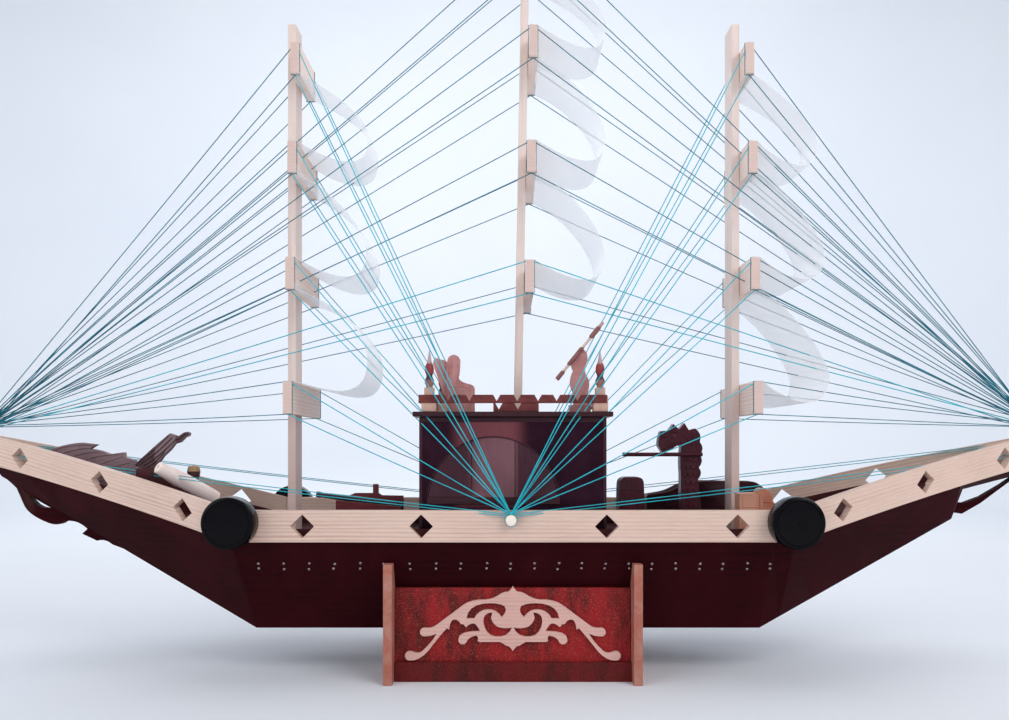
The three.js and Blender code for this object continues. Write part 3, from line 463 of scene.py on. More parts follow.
TAIL_X = wood("brown_tail", (0.066, 0.026, 0.030), (0.020, 0.007, 0.010), board_turn(40, 0, 36), 0.005, 0.45,
              (0.095, 0.045, 0.050), 60, 0.1, 0.3,
              zones=[((0.22, 0.145, 0.155), [("X", -393, -370, 1.5), ("Z", 224, 262, 1)])])
# Stern post: the tan band round its top is partly a pale ring on the knob and partly a painted highlight.
CAPPED_Z = wood("brown_post", (0.060, 0.020, 0.020), (0.024, 0.007, 0.009), ALONG_Z, 0.004, 0.45,
                coat=0.1, specular=0.3, zones=[((0.42, 0.25, 0.13), [("Z", 212.5, 230, 0.8)])])


def panel_look():
    """Deep red stain, darker in upright streaks and on the foot strip, speckled with the wood under it."""
    look = Look("red_panel")
    streaks = look.noise(look.grained(3.5, ALONG_Z), 70, 4.0, 0.62)
    colour = look.ramp(streaks, (0.38, (0.110, 0.0105, 0.011)), (0.60, (0.300, 0.0125, 0.017)))
    specks = look.noise(look.coords, 750, 3.0, 0.75)
    colour = look.mix(look.ramp(specks, (0.54, 0.0), (0.72, 0.7)), colour, (0.46, 0.150, 0.075))
    strip = look.times(look.window("Z", -3, 20.1, 0.3), look.ramp(specks, (0.3, 0.85), (0.7, 0.45)))
    colour = look.mix(strip, colour, (0.050, 0.0085, 0.0085))
    look.bump(specks, 0.0002, 0.4)
    return look.finish(colour, 0.5, 0.02, 0.12)


def finial_look():
    """Turned finials: brown foot, dark neck, red body and pale pink tip."""
    look = Look("finial_bands")
    height = look.along("Z", look.coords)
    spread = look.new("ShaderNodeMapRange", Value=height, From_Min=300 * MM, From_Max=342 * MM)
    wobble = look.noise(look.coords, 260, 2.0)
    colour = look.ramp(
        look.sum(spread.outputs["Result"], wobble, 0.06),
        (0.0, (0.36, 0.15, 0.10)),
        (0.20, (0.34, 0.13, 0.10)),
        (0.27, (0.045, 0.012, 0.022)),
        (0.36, (0.050, 0.012, 0.024)),
        (0.42, (0.30, 0.020, 0.022)),
        (0.62, (0.26, 0.020, 0.024)),
        (0.68, (0.52, 0.33, 0.33)),
        (1.0, (0.60, 0.42, 0.42)),
    )
    fibres = look.noise(look.grained(STRETCH, ALONG_Z), 1700, 2.0)
    look.bump(fibres, 0.0002, 0.5)
    return look.finish(colour, 0.5, 0.1)


def black_gloss():
    look = Look("black_gloss")
    dust = look.noise(look.coords, 700, 2.0, 0.6)
    haze = look.noise(look.coords, 45, 3.0)
    specks = look.ramp(dust, (0.71, 0.0), (0.75, 0.6))
    colour = look.mix(specks, (0.0020, 0.0015, 0.0026), (0.09, 0.08, 0.10))
    rough = look.ramp(haze, (0.3, 0.12), (0.75, 0.3))
    look.bump(look.noise(look.coords, 160, 3.0), 0.0003, 0.25)
    return look.finish(colour, rough, 0.1, 0.05)


SAIL_COVER = 0.36  # how much of what lies behind it one layer of a sail hides


def sail_film():
    look = Look("sailcloth")
    cloud = look.noise(look.coords, 22, 3.0)
    colour = look.ramp(cloud, (0.3, (0.97, 0.98, 1.0)), (0.7, (1.0, 1.0, 1.0)))
    crease = look.noise(look.grained(5.0, ALONG_Y), 90, 3.0, 0.5)
    weave = look.noise(look.coords, 2600, 1.0, 0.5)
    look.bump(look.sum(crease, weave, 0.12), 0.0009, 0.5)
    look.shader.inputs["Alpha"].default_value = SAIL_COVER
    return look.finish(colour, 0.42)


def twisted_thread(name, deep, bright, glint):
    look = Look(name)
    fuzz_and_glints = look.noise(look.coords, 1500, 2.0, 0.6)
    drift = look.noise(look.coords, 30, 2.0)
    colour = look.ramp(drift, (0.3, deep), (0.7, bright))
    # The pale flecks along the fibres are painted highlights; the same noise also gives the fibres their
    # bumps.
    colour = look.mix(look.ramp(fuzz_and_glints, (0.5, 0.0), (0.8, 0.6)), colour, glint)
    look.bump(fuzz_and_glints, 0.0003, 0.5)
    return look.finish(colour, 0.5, specular=0.3)


def dark_iron():
    look = Look("dark_iron")
    wear = look.noise(look.coords, 900, 2.0)
    look.shader.inputs["Metallic"].default_value = 0.85
    colour = look.ramp(wear, (0.35, (0.16, 0.11, 0.12)), (0.7, (0.42, 0.34, 0.36)))
    return look.finish(colour, 0.2)


BLACK = black_gloss()
SAILCLOTH = sail_film()
# One teal thread in two copies: the first darker, a painted shade, and the second lighter, a painted
# highlight.
SHADED_THREAD = twisted_thread("thread", (0.0, 0.085, 0.125), (0.002, 0.20, 0.27), (0.06, 0.38, 0.46))
LIT_THREAD = twisted_thread("thread_painted_lit", (0.0, 0.33, 0.42), (0.003, 0.53, 0.62), (0.20, 0.86, 0.93))
IRON = dark_iron()
FINIALS = finial_look()
RED_PANEL = panel_look()

# Carried-over frame nodes: finish, with the edges eased as a sanded board's are

FINISHES = [
    # start of the node's name, material, easing in millimetres
    ("bulwark_middle", PINE_X, 0.5),
    *((f"bulwark_{where}", material, 0.5) for where, material in END_PINE.items()),
    ("cradle_plate", PLATE_RED, 0.6),
    ("cradle_panel", RED_PANEL, 0.6),
    ("ornament", PINE_FRET, 0.7),
    ("cabin_walls", CABIN_STAIN, 0.5),
    ("cabin_door", DOOR_RED, 0.3),
    ("cabin_roof", DARK_X, 0.5),
    ("parapet", RED_X, 0.4),
    ("mast", PINE_Z, 0.6),
    ("yard", PINE_Y, 0.6),
    ("roof_seat", BROWN_Z, 0.5),
    ("roof_gun_post", BROWN_Z, 0.6),
    ("roof_gun", GUN_Z, 0.2),
    ("dragon", DARK_CARVED, 0.8),
    ("cask", DARK_CARVED, 0.7),
    ("longboat", DARK_X, 0.5),
    ("crate", ORANGE_X, 0.8),
    ("deck_cannon_carriage", CARRIAGE, 0.5),
    ("deck_cannon", BARREL, 0.3),
    ("stern_cannon", PINE_LOG, 0.5),
    ("stern_post", CAPPED_Z, 0.4),
    ("stern_tail", TAIL_X, 0.5),
    ("stern_wing", GREY_X, 0.6),
    ("hull", HULL_PAINT, 0.5),
    ("boss", BLACK, 0.4),
    ("stays", SHADED_THREAD, 0.0),
]


def ease_edges(node, width):
    """Welds the node's shared points and rounds its edges, both as modifiers."""
    weld = node.modifiers.new("weld", "WELD")
    weld.merge_threshold = 1e-5
    if width:
        bevel = node.modifiers.new("ease", "BEVEL")
        bevel.width = width * MM
        bevel.segments = 2
        bevel.limit_method = "ANGLE"
        bevel.angle_limit = math.radians(40)
        bevel.use_clamp_overlap = True


def dress_nodes():
    for name, node in NODES.items():
        for start, material, width in FINISHES:
            if name.startswith(start):
                node.data.materials.clear()
                node.data.materials.append(material)
                ease_edges(node, width)
                break


dress_nodes()

# Rigs: masts and yards are frame nodes, and the sails and threads follow them

MASTS = ("mizzen", "main", "fore")
LEVELS = ("lowest", "lower", "upper", "top")
SAIL_HEM = 8 * MM
SAIL_THICK = 0.5 * MM
SAIL_MARGIN = 1.2 * MM  # bare yard at each side of a sail
SAIL_ORIGIN = 13.8 * MM  # how far behind the yards' front faces the shapes of sails are measured from
SAIL_STEPS = 36
SAIL_COLUMNS = 24

# Shapes of sails in millimetres: forward reach and height of the belly, and the two control points
# of the curve up to it and of the curve above it
TIGHT_SAIL = (91.5, 20, (40, -4), (88, -28), (92.5, 50), (66, -16))
SLACK_SAIL = (89, 8, (36, -13), (90, -40), (89, 30), (58, -21))
DEEP_SAIL = (87, 6, (32, -17), (84, -42), (86, 28), (46, -17))
SAILS = {
    # rig: shapes from the lowest sail up, and how much each draws in
    "mizzen": ((TIGHT_SAIL, SLACK_SAIL, SLACK_SAIL), (0.14, 0.14, 0.20)),
    "main": ((SLACK_SAIL, SLACK_SAIL, SLACK_SAIL), (0.14, 0.18, 0.24)),
    "fore": ((DEEP_SAIL, DEEP_SAIL, DEEP_SAIL), (0.10, 0.14, 0.30)),
}


def yard_box(mast, level):
    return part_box(f"yard_{mast}_{level}")


def bezier(a, b, c, d, count):
    made = []
    for i in range(count):
        t = i / count
        s = 1 - t
        made.append(a * s**3 + b * 3 * s * s * t + c * 3 * s * t * t + d * t**3)
    return made


def sail_line(mast, low_level, high_level, shape):
    """The sail in the centre plane, as (x, z), from the lower yard to its hem on the upper one."""
    low_back, low = yard_box(mast, low_level)
    high_low, high_top = yard_box(mast, high_level)
    gap = 0.3 * MM + SAIL_THICK / 2
    foot_z = low.z + gap
    origin = low.x - SAIL_ORIGIN
    shift = high_top.x - low.x  # a leaning mast carries its upper yards further forward
    full, height, near, far, far_head, near_head = shape

    def below(p):
        return Vector((origin + p[0] * MM, low.z + p[1] * MM))

    def above(p, share):
        return Vector((origin + p[0] * MM + shift * share, p[1]))

    belly = below((full, height))
    foot = Vector((low.x + gap, foot_z))
    head = Vector((high_top.x + gap, high_low.z))
    curve = bezier(foot, below(near), below(far), belly, SAIL_STEPS // 2)
    curve += bezier(
        belly,
        above((far_head[0], low.z + far_head[1] * MM), 0.4),
        above((near_head[0], high_low.z + near_head[1] * MM), 0.8),
        head,
        SAIL_STEPS // 2,
    )
    back = Vector((low_back.x + 1 * MM, foot_z))
    return [back, *curve, head, Vector((head.x, head.y + SAIL_HEM))]


def make_sail(mast, index):
    low_level, high_level = LEVELS[index - 1], LEVELS[index]
    name = f"sail_{mast}_{high_level}"
    shapes, waists = SAILS[mast]
    line = sail_line(mast, low_level, high_level, shapes[index - 1])
    waist = waists[index - 1]
    low_width = yard_box(mast, low_level)[1].y * 2
    high_width = yard_box(mast, high_level)[1].y * 2
    height = line[-2].y - line[1].y
    run, area, widths = 0.0, 0.0, []
    for i, point in enumerate(line):
        share = (point.y - line[1].y) / height
        forward = max(0.0, point.x - line[0].x)
        full_width = low_width + (high_width - low_width) * share
        widths.append(full_width - 2 * (SAIL_MARGIN + waist * forward))
        if i:
            step = (point - line[i - 1]).length
            run += step
            area += step * (widths[i] + widths[i - 1]) / 2
    bm = bmesh.new()
    layers = []
    for side in (-0.5, 0.5):
        grid = []
        for i, point in enumerate(line):
            before, after = line[max(0, i - 1)], line[min(len(line) - 1, i + 1)]
            along = (after - before).normalized()
            out = Vector((along.y, -along.x)) * side * SAIL_THICK
            row = []
            for j in range(SAIL_COLUMNS + 1):
                y = (j / SAIL_COLUMNS - 0.5) * widths[i]
                row.append(bm.verts.new((point.x + out.x, y, point.y + out.y)))
            grid.append(row)
        layers.append(grid)
    rows, columns = len(line), SAIL_COLUMNS + 1
    for grid in layers:
        for i in range(rows - 1):
            for j in range(columns - 1):
                bm.faces.new((grid[i][j], grid[i][j + 1], grid[i + 1][j + 1], grid[i + 1][j]))
    front, back = layers
    rim = [(i, 0) for i in range(rows)]
    rim += [(rows - 1, j) for j in range(1, columns)]
    rim += [(i, columns - 1) for i in range(rows - 2, -1, -1)]
    rim += [(0, j) for j in range(columns - 2, 0, -1)]
    for (i, j), (k, m) in zip(rim, rim[1:] + rim[:1]):
        bm.faces.new((front[i][j], front[k][m], back[k][m], back[i][j]))
    sail = piece(name + "_sheet", bm, SAILCLOTH, replaces=[name], sharp=60)


for mast in MASTS:
    for index in (1, 2, 3):
        make_sail(mast, index)

# Threads of the rigging

LONG_RADIUS = 0.5 * MM  # threads that run to the tips of the hull
PEG_THREAD_RADIUS = 0.56 * MM
WINDING_RADIUS = 0.32 * MM
THREAD_STEPS = 6
TIP_X, TIP_Z = 600, 262
PEG = at(-2, 124, 167)
PEG_RADIUS = 5.75
YARD_TIPS = {"mizzen": (-1,), "main": (-1, 1), "fore": (1,)}
# Low threads from each peg to each tip: height at the tip, for the starboard and the port one
LOW_TIES = {-1: 236, 1: 249}


def add_thread(bm, start, end, sag, radius):
    points = []
    for i in range(THREAD_STEPS + 1):
        t = i / THREAD_STEPS
        point = start.lerp(end, t)
        point.z -= 4 * sag * t * (1 - t)
        points.append(point)
    add_tube(bm, points, radius)


def add_winding(bm, mast, level, side):
    """Thread tied round a yard near its end. Returns the middles of its bottom and top runs."""
    low, high = yard_box(mast, level)
    edge = WINDING_RADIUS + 0.05 * MM
    y = side * (high.y - 4 * MM)
    x0, x1, z0, z1 = low.x - edge, high.x + edge, low.z - edge, high.z + edge
    corners = [Vector((x, y, z)) for x, z in ((x0, z0), (x1, z0), (x1, z1), (x0, z1))]
    for a, b in zip(corners, corners[1:] + corners[:1]):
        add_tube(bm, [a, b], WINDING_RADIUS)
    return [Vector(((x0 + x1) / 2, y, z)) for z in (z0, z1)]


def tip_point(end, rng):
    return at(end * TIP_X + rng.uniform(-5, 5), rng.uniform(-1.5, 1.5), TIP_Z + rng.uniform(-4, 4))


def add_peg_loops(bm, side):
    for i in range(4):
        centre = Vector((PEG.x, side * (PEG.y - (3.2 + 1.25 * i) * MM), PEG.z))
        add_hoop(bm, centre, Vector((0, 1, 0)), (PEG_RADIUS + 0.4) * MM, 0.4 * MM)


def add_tip_knot(bm, end):
    knot = at(end * TIP_X, 0, TIP_Z)
    profile = [(0, -3.4), (2.4, -2.6), (3.6, 0), (2.6, 2.4), (0, 3.6)]
    add_turned(bm, profile, knot, Vector((0, 0, 1)), 14)
    for turn in range(5):
        centre = at(end * (TIP_X - 2.5 + 1.3 * turn), 0, TIP_Z)
        add_hoop(bm, centre, Vector((1, 0, 0)), 3.6 * MM, LONG_RADIUS, 16)
    for drop in (0, 1.4, 2.8):
        loop = [at(end * TIP_X, -5.4, TIP_Z - 3 - drop), at(end * TIP_X, -5.6, 238 - drop),
                at(end * (TIP_X + 1), 0, 236 - drop), at(end * TIP_X, 5.6, 248 - drop),
                at(end * TIP_X, 5.4, TIP_Z - 3 - drop)]
        add_tube(bm, loop, LONG_RADIUS)


def make_rigging():
    long_runs = bmesh.new()
    peg_runs = bmesh.new()
    rng = random.Random(5)
    for mast in MASTS:
        for level in LEVELS:
            for side in (-1, 1):
                # These threads, like all the threads to the pegs, take the lighter copy of the thread
                # colour, which is painted light.
                bright = mast == "main" and level == "lowest" and side < 0
                runs, radius = (peg_runs, PEG_THREAD_RADIUS) if bright else (long_runs, LONG_RADIUS)
                for start in add_winding(long_runs, mast, level, side):
                    for end in YARD_TIPS[mast]:
                        tip = tip_point(end, rng)
                        add_thread(runs, start, tip, rng.uniform(0, 1.5) * MM, radius)
                    if mast != "main":
                        along = rng.uniform(-3.5, 0) * MM
                        peg = Vector((PEG.x, side * (PEG.y - 1 * MM + along), PEG.z + 6.2 * MM))
                        add_thread(peg_runs, start, peg, rng.uniform(0, 1) * MM, PEG_THREAD_RADIUS)
    for side, height in LOW_TIES.items():
        for end in (-1, 1):
            for lift in (0, 2.2):
                peg = Vector((PEG.x, side * (PEG.y - 3 * MM), PEG.z + (6 - lift) * MM))
                tie = at(end * TIP_X, side * 5.5, height - lift)
                add_thread(peg_runs, peg, tie, rng.uniform(1, 3) * MM, LONG_RADIUS)
        add_peg_loops(peg_runs, side)
    for end in (-1, 1):
        add_tip_knot(long_runs, end)
    piece("rigging", long_runs, SHADED_THREAD, replaces=["stays_stern", "stays_bow"])
    piece("peg_rigging", peg_runs, LIT_THREAD)


make_rigging()

# Bare end grain on the pegs that hold the threads


def make_peg_ends():
    profile = [(0, -0.4), (5.0, -0.4), (5.3, -0.1), (5.0, 0.2), (4.2, 0.5), (0, 0.7)]
    for side, hand in SIDES:
        bm = bmesh.new()
        add_turned(bm, profile, Vector((PEG.x, side * PEG.y, PEG.z)), Vector((0, side, 0)), 40)
        piece(f"peg_end_{hand}", bm, PINE_END)


make_peg_ends()

# Bosses, each turned with a rounded rim, a shallow line and a peg end at its centre

BOSS_PROFILE = [
    (0, 12.7), (2.9, 12.7), (2.9, 0), (24.6, 0), (25.6, 0.5), (26, 1.5), (26, 17.6), (25.5, 19.1),
    (24.2, 19.9), (22.4, 20.0), (22.1, 19.6), (21.7, 19.6), (21.4, 20.0), (12, 20.1), (1.9, 20.15),
    (1.8, 19.8), (1.5, 19.8), (1.45, 20.3), (0, 20.45),
]


def make_bosses():
    for _, word in ENDS:
        for side, hand in SIDES:
            node = f"boss_{word}_{hand}"
            low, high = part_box(node)
            middle = (low + high) / 2
            base = Vector((middle.x, low.y if side > 0 else high.y, middle.z))
            bm = bmesh.new()
            add_turned(bm, BOSS_PROFILE, base, Vector((0, side, 0)), 72)
            piece(f"{node}_turned", bm, BLACK, f"{node}_body", [node], 30)


make_bosses()

# Tacks along the hull

TACK_PITCHES = {-1: 25.8, 1: 24.0}  # towards the stern and towards the bow
TACK_ROWS = (121.3, 115.6)
TACK_HEAD = [(1.6, -0.3), (1.7, 0.1), (1.5, 0.7), (1.05, 1.15), (0.5, 1.4), (0, 1.48)]


def make_tacks():
    bm = bmesh.new()
    rng = random.Random(11)
    slope = (TOP_HALF - BOTTOM_HALF) / (DECK_TOP - KEEL_Z)
    for side in (-1, 1):
        out = Vector((0, side * 1.0, -slope)).normalized()
        for i in range(-10, 12):
            along = -1.6 + i * TACK_PITCHES[1 if i > 0 else -1]
            for height in TACK_ROWS:
                z = (height + rng.uniform(-0.5, 0.5)) * MM
                y = side * (BOTTOM_HALF + (z - KEEL_Z) * slope)
                base = Vector(((along + rng.uniform(-1.2, 1.2)) * MM, y, z))
                add_turned(bm, TACK_HEAD, base, out, 12)
    piece("hull_tacks", bm, IRON)


make_tacks()

# Deck planks, and the dark strip along the foot of each bulwark: partly an inner lining and partly painted
# shade low inside the bulwarks, where the diamond holes show it

PLANK_PITCH = 12.5
PLANK_RISE = (0.02, 0.22)
PLANK_GAP = 0.5
DECK_REACH = 560 * MM


def plank_section(x, low_y, high_y):
    z0, z1 = (deck_z(x) + rise_by * MM for rise_by in PLANK_RISE)
    limit = top_half(x) - 5.2 * MM
    a, b = max(low_y, -limit), min(high_y, limit)
    if b - a < 1.5 * MM:
        return None
    return [Vector((x, a, z0)), Vector((x, b, z0)), Vector((x, b, z1)), Vector((x, a, z1))]


def make_deck():
    bm = bmesh.new()
    rng = random.Random(3)
    for row in range(-9, 9):
        low_y = (row * PLANK_PITCH + PLANK_GAP / 2) * MM
        high_y = low_y + (PLANK_PITCH - PLANK_GAP) * MM
        x = -DECK_REACH + rng.uniform(0, 60) * MM
        while x < DECK_REACH:
            end = min(DECK_REACH, x + rng.uniform(150, 260) * MM)
            count = max(1, round((end - x) / (22 * MM)))
            sections = []
            for i in range(count + 1):
                section = plank_section(x + (end - x) * i / count, low_y, high_y)
                if section:
                    sections.append(section)
            if len(sections) > 1:
                add_section_run(bm, sections)
            x = end + PLANK_GAP * MM
    piece("deck_planks", bm, DECK_PAINT, sharp=20)


# The dark strips stand for an inner lining and for painted shade low inside the bulwarks.
def make_lining_shade_strips():
    bm = bmesh.new()
    for side in (-1, 1):
        sections = []
        for i in range(-27, 28):
            x = i * 20 * MM
            outer = top_half(x) - (4.5 if end_share(x) == 0 else 5.4) * MM
            inner = outer - 2.5 * MM
            low, high = deck_z(x) + 0.3 * MM, deck_z(x) + 13 * MM
            section = [(inner, low), (outer, low), (outer, high), (inner, high - 1 * MM)]
            sections.append([Vector((x, side * y, z)) for y, z in section])
        add_section_run(bm, sections)
    piece("deck_lining_shade_strips", bm, DECK_PAINT, sharp=25)


make_deck()
make_lining_shade_strips()

# Parapet in three finishes: rails, post feet and finials

FINIAL = [
    (0, -2), (3.4, -2), (3.5, 2.6), (4.2, 3.4), (5, 6.2), (4.9, 7.6), (3.4, 10.8), (3, 12), (3.3, 13.4),
    (4.4, 16), (4.6, 19), (4.3, 22), (2.9, 25.6), (2.3, 27), (1.4, 32), (0.5, 38.5), (0, 40),
]
NOTCH_HALF, NOTCH_DEEP = 3.7, 6.5
NOTCHES = (-66.5, -44.5, -16.5, 4.5, 25.8, 44.8, 66)
PROP_NOTCHES = (-14.3, 5.1)


def notched(left, right, low, top, notches):
    """Outline of a notched strip as (along, height), from its lower left corner."""
    points = [(left, low), (right, low), (right, top)]
    for notch in reversed(notches):
        points += [(notch + NOTCH_HALF, top), (notch, top - NOTCH_DEEP), (notch - NOTCH_HALF, top)]
    return points + [(left, top)]


def add_plate(bm, outline, place, ease=0.35):
    """A plate through place(a, b, share), where share runs from 0 at its front to 1 at its back."""
    loops = []
    count = len(outline)
    for share, inset in ((0.0, ease), (0.08, 0.0), (0.92, 0.0), (1.0, ease)):
        loop = []
        for i, (a, b) in enumerate(outline):
            before, after = Vector(outline[i - 1]), Vector(outline[(i + 1) % count])
            here = Vector((a, b))
            inward = (before - here).normalized() + (after - here).normalized()
            if inward.length > 1e-6:
                inward.normalize()
            if (here - before).cross(after - here) <= 0:
                inward.negate()
            moved = here + inward * inset
            loop.append(bm.verts.new(place(moved.x, moved.y, share)))
        loops.append(loop)
    skin(bm, loops)


def make_parapet():
    rails = bmesh.new()
    front = notched(-96.5, 96.5, 285, 293.5, NOTCHES)
    add_plate(rails, front, lambda a, b, s: at(a, -96.5 + 6 * s, b))
    for side in (-1, 1):
        notches = sorted(notch * -side for notch in NOTCHES)
        short = notched(-90.3, 96.4, 285.2, 293.4, notches)
        add_plate(rails, short, lambda a, b, s, side=side: at(side * (96.5 - 6 * s), a, b))
    prop = notched(-20, 26.5, 276.3, 285, PROP_NOTCHES)
    add_plate(rails, prop, lambda a, b, s: at(a, -96 + 5 * s, b))
    piece("parapet_rails", rails, RED_X, replaces=["parapet"], sharp=25)

    feet = bmesh.new()
    tops = bmesh.new()
    for sx in (-1, 1):
        for sy in (-1, 1):
            x, y = sx * 88 + 2, sy * 88
            add_box(feet, (x - 7.5, y - 7.5, 276.3), (x + 7.5, y + 7.5, 292.5))
            add_box(feet, (x - 5, y - 5, 291.5), (x + 5, y + 5, 301), 0.5)
            add_turned(tops, FINIAL, at(x, y, 301), Vector((0, 0, 1)), 28)
    piece("parapet_posts", feet, TAN_Z)
    piece("parapet_finials", tops, FINIALS)


make_parapet()

# Cabin: moulding round the half-round doorway, sill and corner battens

DOORWAY_X, DOORWAY_Z, DOORWAY_RADIUS = -20, 183, 67.6
ARCH_STEPS = 48


def make_cabin_trim():
    trim = bmesh.new()
    arch = []
    for i in range(ARCH_STEPS + 1):
        turn = math.pi * (1 - i / ARCH_STEPS)
        x = DOORWAY_X + DOORWAY_RADIUS * math.cos(turn)
        arch.append(at(x, -96.1, DOORWAY_Z + DOORWAY_RADIUS * math.sin(turn)))
    add_tube(trim, arch, 0.5 * MM, 8)
    for x in (-94.2, 94.2):
        for y in (-94.9, 94.9):
            add_box(trim, (x - 1.6, y - 1.6, 144.8), (x + 1.6, y + 1.6, 270.5), 0.5)
    for y in (-95.9, 95.9):
        add_box(trim, (-95, y - 0.5, 265.5), (95, y + 0.5, 270.5), 0.3)
    piece("cabin_trim", trim, DARK_X)
    sill = bmesh.new()
    add_box(sill, (-88, -97.2, 181.4), (48, -95.6, 188.6))
    piece("cabin_sill", sill, DARK_X)


make_cabin_trim()

# Carving on the figures, as fine raised lines


def add_line(bm, points, y, radius):
    """A raised line over a face at y, through points given as (x, z) in millimetres."""
    add_tube(bm, smooth_through([at(x, y, z) for x, z in points]), radius * MM)


def carve(name, material, slot, *groups):
    """A piece of raised lines. A group is the y of its faces, and its lines as (points, radius)."""
    bm = bmesh.new()
    for faces, lines in groups:
        for y in faces:
            for points, radius in lines:
                add_line(bm, points, y, radius)
    piece(name, bm, material, sharp=60)


# The dragon's heights are above its foot
DRAGON_FACE = [
    ([(166, 93), (172, 95), (180, 100), (187, 101)], 0.6),
    ([(163, 104), (166, 107), (170, 106)], 0.6),
    ([(174, 110), (178, 112.5), (183, 110.5)], 0.7),
    *(([(x, 112), (x + 4, 104), (x + 5, 96)], 0.5) for x in (189, 193, 197)),
]
DRAGON_EYE = [(2.4, -0.3), (2.5, 0.3), (1.6, 0.5), (1.5, 0.9), (0, 1.3)]


def dragon_scales():
    scales = []
    for row in range(9):
        z = 12 + row * 8.6
        for column in range(3):
            x = 190.5 + column * 6.4 + (3.2 if row % 2 else 0)
            if x < 206:
                points = [(x - 3, z + 3.2), (x - 2, z), (x, z - 1.2), (x + 2, z), (x + 3, z + 3.2)]
                scales.append((points, 0.45))
    return scales


def make_dragon_carving():
    bm = bmesh.new()
    for y, out in ((-27, -1), (-13, 1)):
        for points, radius in dragon_scales() + DRAGON_FACE:
            add_line(bm, [(x, FOOT_Z + z) for x, z in points], y, radius)
        add_turned(bm, DRAGON_EYE, at(178, y, FOOT_Z + 106.5), Vector((0, out, 0)), 20)
    piece("dragon_carving", bm, DARK_CARVED, sharp=60)


def make_wing_carving():
    shafts = [
        [(-522, 235), (-505, 240.5), (-488, 242.5), (-474, 242.3)],
        [(-520, 229), (-503, 234.5), (-487, 238), (-478, 239)],
        [(-514, 223.5), (-498, 229), (-480, 233.5), (-464, 235)],
        [(-505, 218), (-488, 223.5), (-468, 229.5), (-445, 232)],
        [(-495, 212), (-478, 217.5), (-460, 223), (-442, 228.6)],
        [(-484, 206), (-468, 211), (-450, 217.5), (-433, 222.6)],
        [(-470, 200), (-455, 205.5), (-442, 211), (-432, 215.5)],
    ]
    lines = [(shaft, 0.7) for shaft in shafts]
    for upper, lower in zip(shafts, shafts[1:]):
        for k in range(1, 7):
            a = Vector(upper[0]).lerp(Vector(upper[-1]), k / 7)
            b = Vector(lower[0]).lerp(Vector(lower[-1]), k / 7)
            lines.append(([b.lerp(a, 0.12), b.lerp(a, 0.55) + Vector((-3, 0))], 0.3))
    carve("wing_carving", GREY_X, "maroon_stain", ((-4, 4), lines))


SCROLLS = [
    ([(-579, 213), (-566, 203), (-557, 191), (-550, 176), (-540, 163.5), (-524, 157), (-510, 154)], 0.7),
    ([(-556, 195), (-548, 188.5), (-534, 180.5), (-520, 173)], 0.5),
    ([(-543, 169), (-530, 163), (-516, 160), (-500, 162.5)], 0.5),
    ([(493, 172.6), (510, 171.2), (530, 180.4), (566, 204.8), (589, 216.6)], 0.5),
]
# Ribs of the tail fin, from its lower left edge up to its shoulder
TAIL_RIBS = [
    [(-413.5, 220), (-400, 231.6), (-389, 241.6), (-377.5, 252.6)],
    [(-410, 220), (-400, 227), (-388, 236.5), (-374, 250)],
    [(-406, 219), (-398, 223.5), (-387, 232), (-370, 247.6)],
    [(-402, 217.5), (-396, 220.5), (-388.5, 227.5), (-382, 234.5)],
    [(-370.5, 248.2), (-366, 248.6), (-362, 252.6), (-358.6, 254.2)],
]


make_dragon_carving()
make_wing_carving()
carve("scroll_carving", HULL_PAINT, "maroon_stain", ((-4.5, 4.5), SCROLLS))
carve("tail_carving", DARK_X, "maroon_stain", ((-31, -23), [(rib, 0.6) for rib in TAIL_RIBS]))

# Log gun at the stern: a tapered log with a bored muzzle, lying aslant on a dark bed and a chock

LOG_FOOT, LOG_MUZZLE = at(-332.5, -14, 181.2), at(-377.7, -60, 218.7)
LOG_RADIUS, LIP_RADIUS = 9.3, 6.6
BED_OUTLINE = [(-336, 176), (-351, 190), (-372, 205), (-382, 216), (-407, 217)]
CHOCK_OUTLINE = [(-335, 176), (-345, 180)]


def on_deck(outline):
    """An outline that is closed along the deck, from the x of its last point to that of its first."""
    ends = (outline[-1][0], outline[0][0])
    return [*((x, deck_z(x * MM) / MM + 0.5) for x in ends), *outline]


def make_stern_gun():
    direction = (LOG_MUZZLE - LOG_FOOT).normalized()
    run = (LOG_MUZZLE - LOG_FOOT).length / MM
    bend = run * 0.62
    butt, lip = LOG_RADIUS, LIP_RADIUS
    profile = [(0, 0), (butt - 1.2, 0), (butt - 0.4, 0.3), (butt, 1.2), (butt, bend - 9),
               (butt - 0.1, bend - 2), (butt - 0.35, bend + 4), (lip + 0.45, run - 7), (lip, run - 0.9),
               (lip - 0.3, run - 0.2), (lip - 0.9, run), (2.3, run), (2, run - 0.3), (1.9, run - 4),
               (0, run - 4.2)]
    log = bmesh.new()
    add_turned(log, profile, LOG_FOOT, direction, 56)
    piece("stern_log", log, PINE_LOG, replaces=["stern_cannon"])
    face = [(2.35, run - 0.25), (2.35, run + 0.08), (2.5, run + 0.2), (lip - 1, run + 0.2),
            (lip - 0.8, run + 0.08), (lip - 0.8, run - 0.25), (2.35, run - 0.25)]
    muzzle = bmesh.new()
    add_turned(muzzle, face, LOG_FOOT, direction, 56)
    bmesh.ops.remove_doubles(muzzle, verts=muzzle.verts, dist=1e-6)
    piece("stern_log_muzzle", muzzle, PINE_END)
    supports = (("stern_bed", BED_OUTLINE, -47, 14), ("stern_chock", CHOCK_OUTLINE, -24, 12))
    for name, outline, low, wide in supports:
        bm = bmesh.new()
        add_plate(bm, on_deck(outline), lambda a, b, s, low=low, wide=wide: at(a, low + wide * s, b), 0.5)
        piece(name, bm, BED)


make_stern_gun()

# Fittings of the deck items


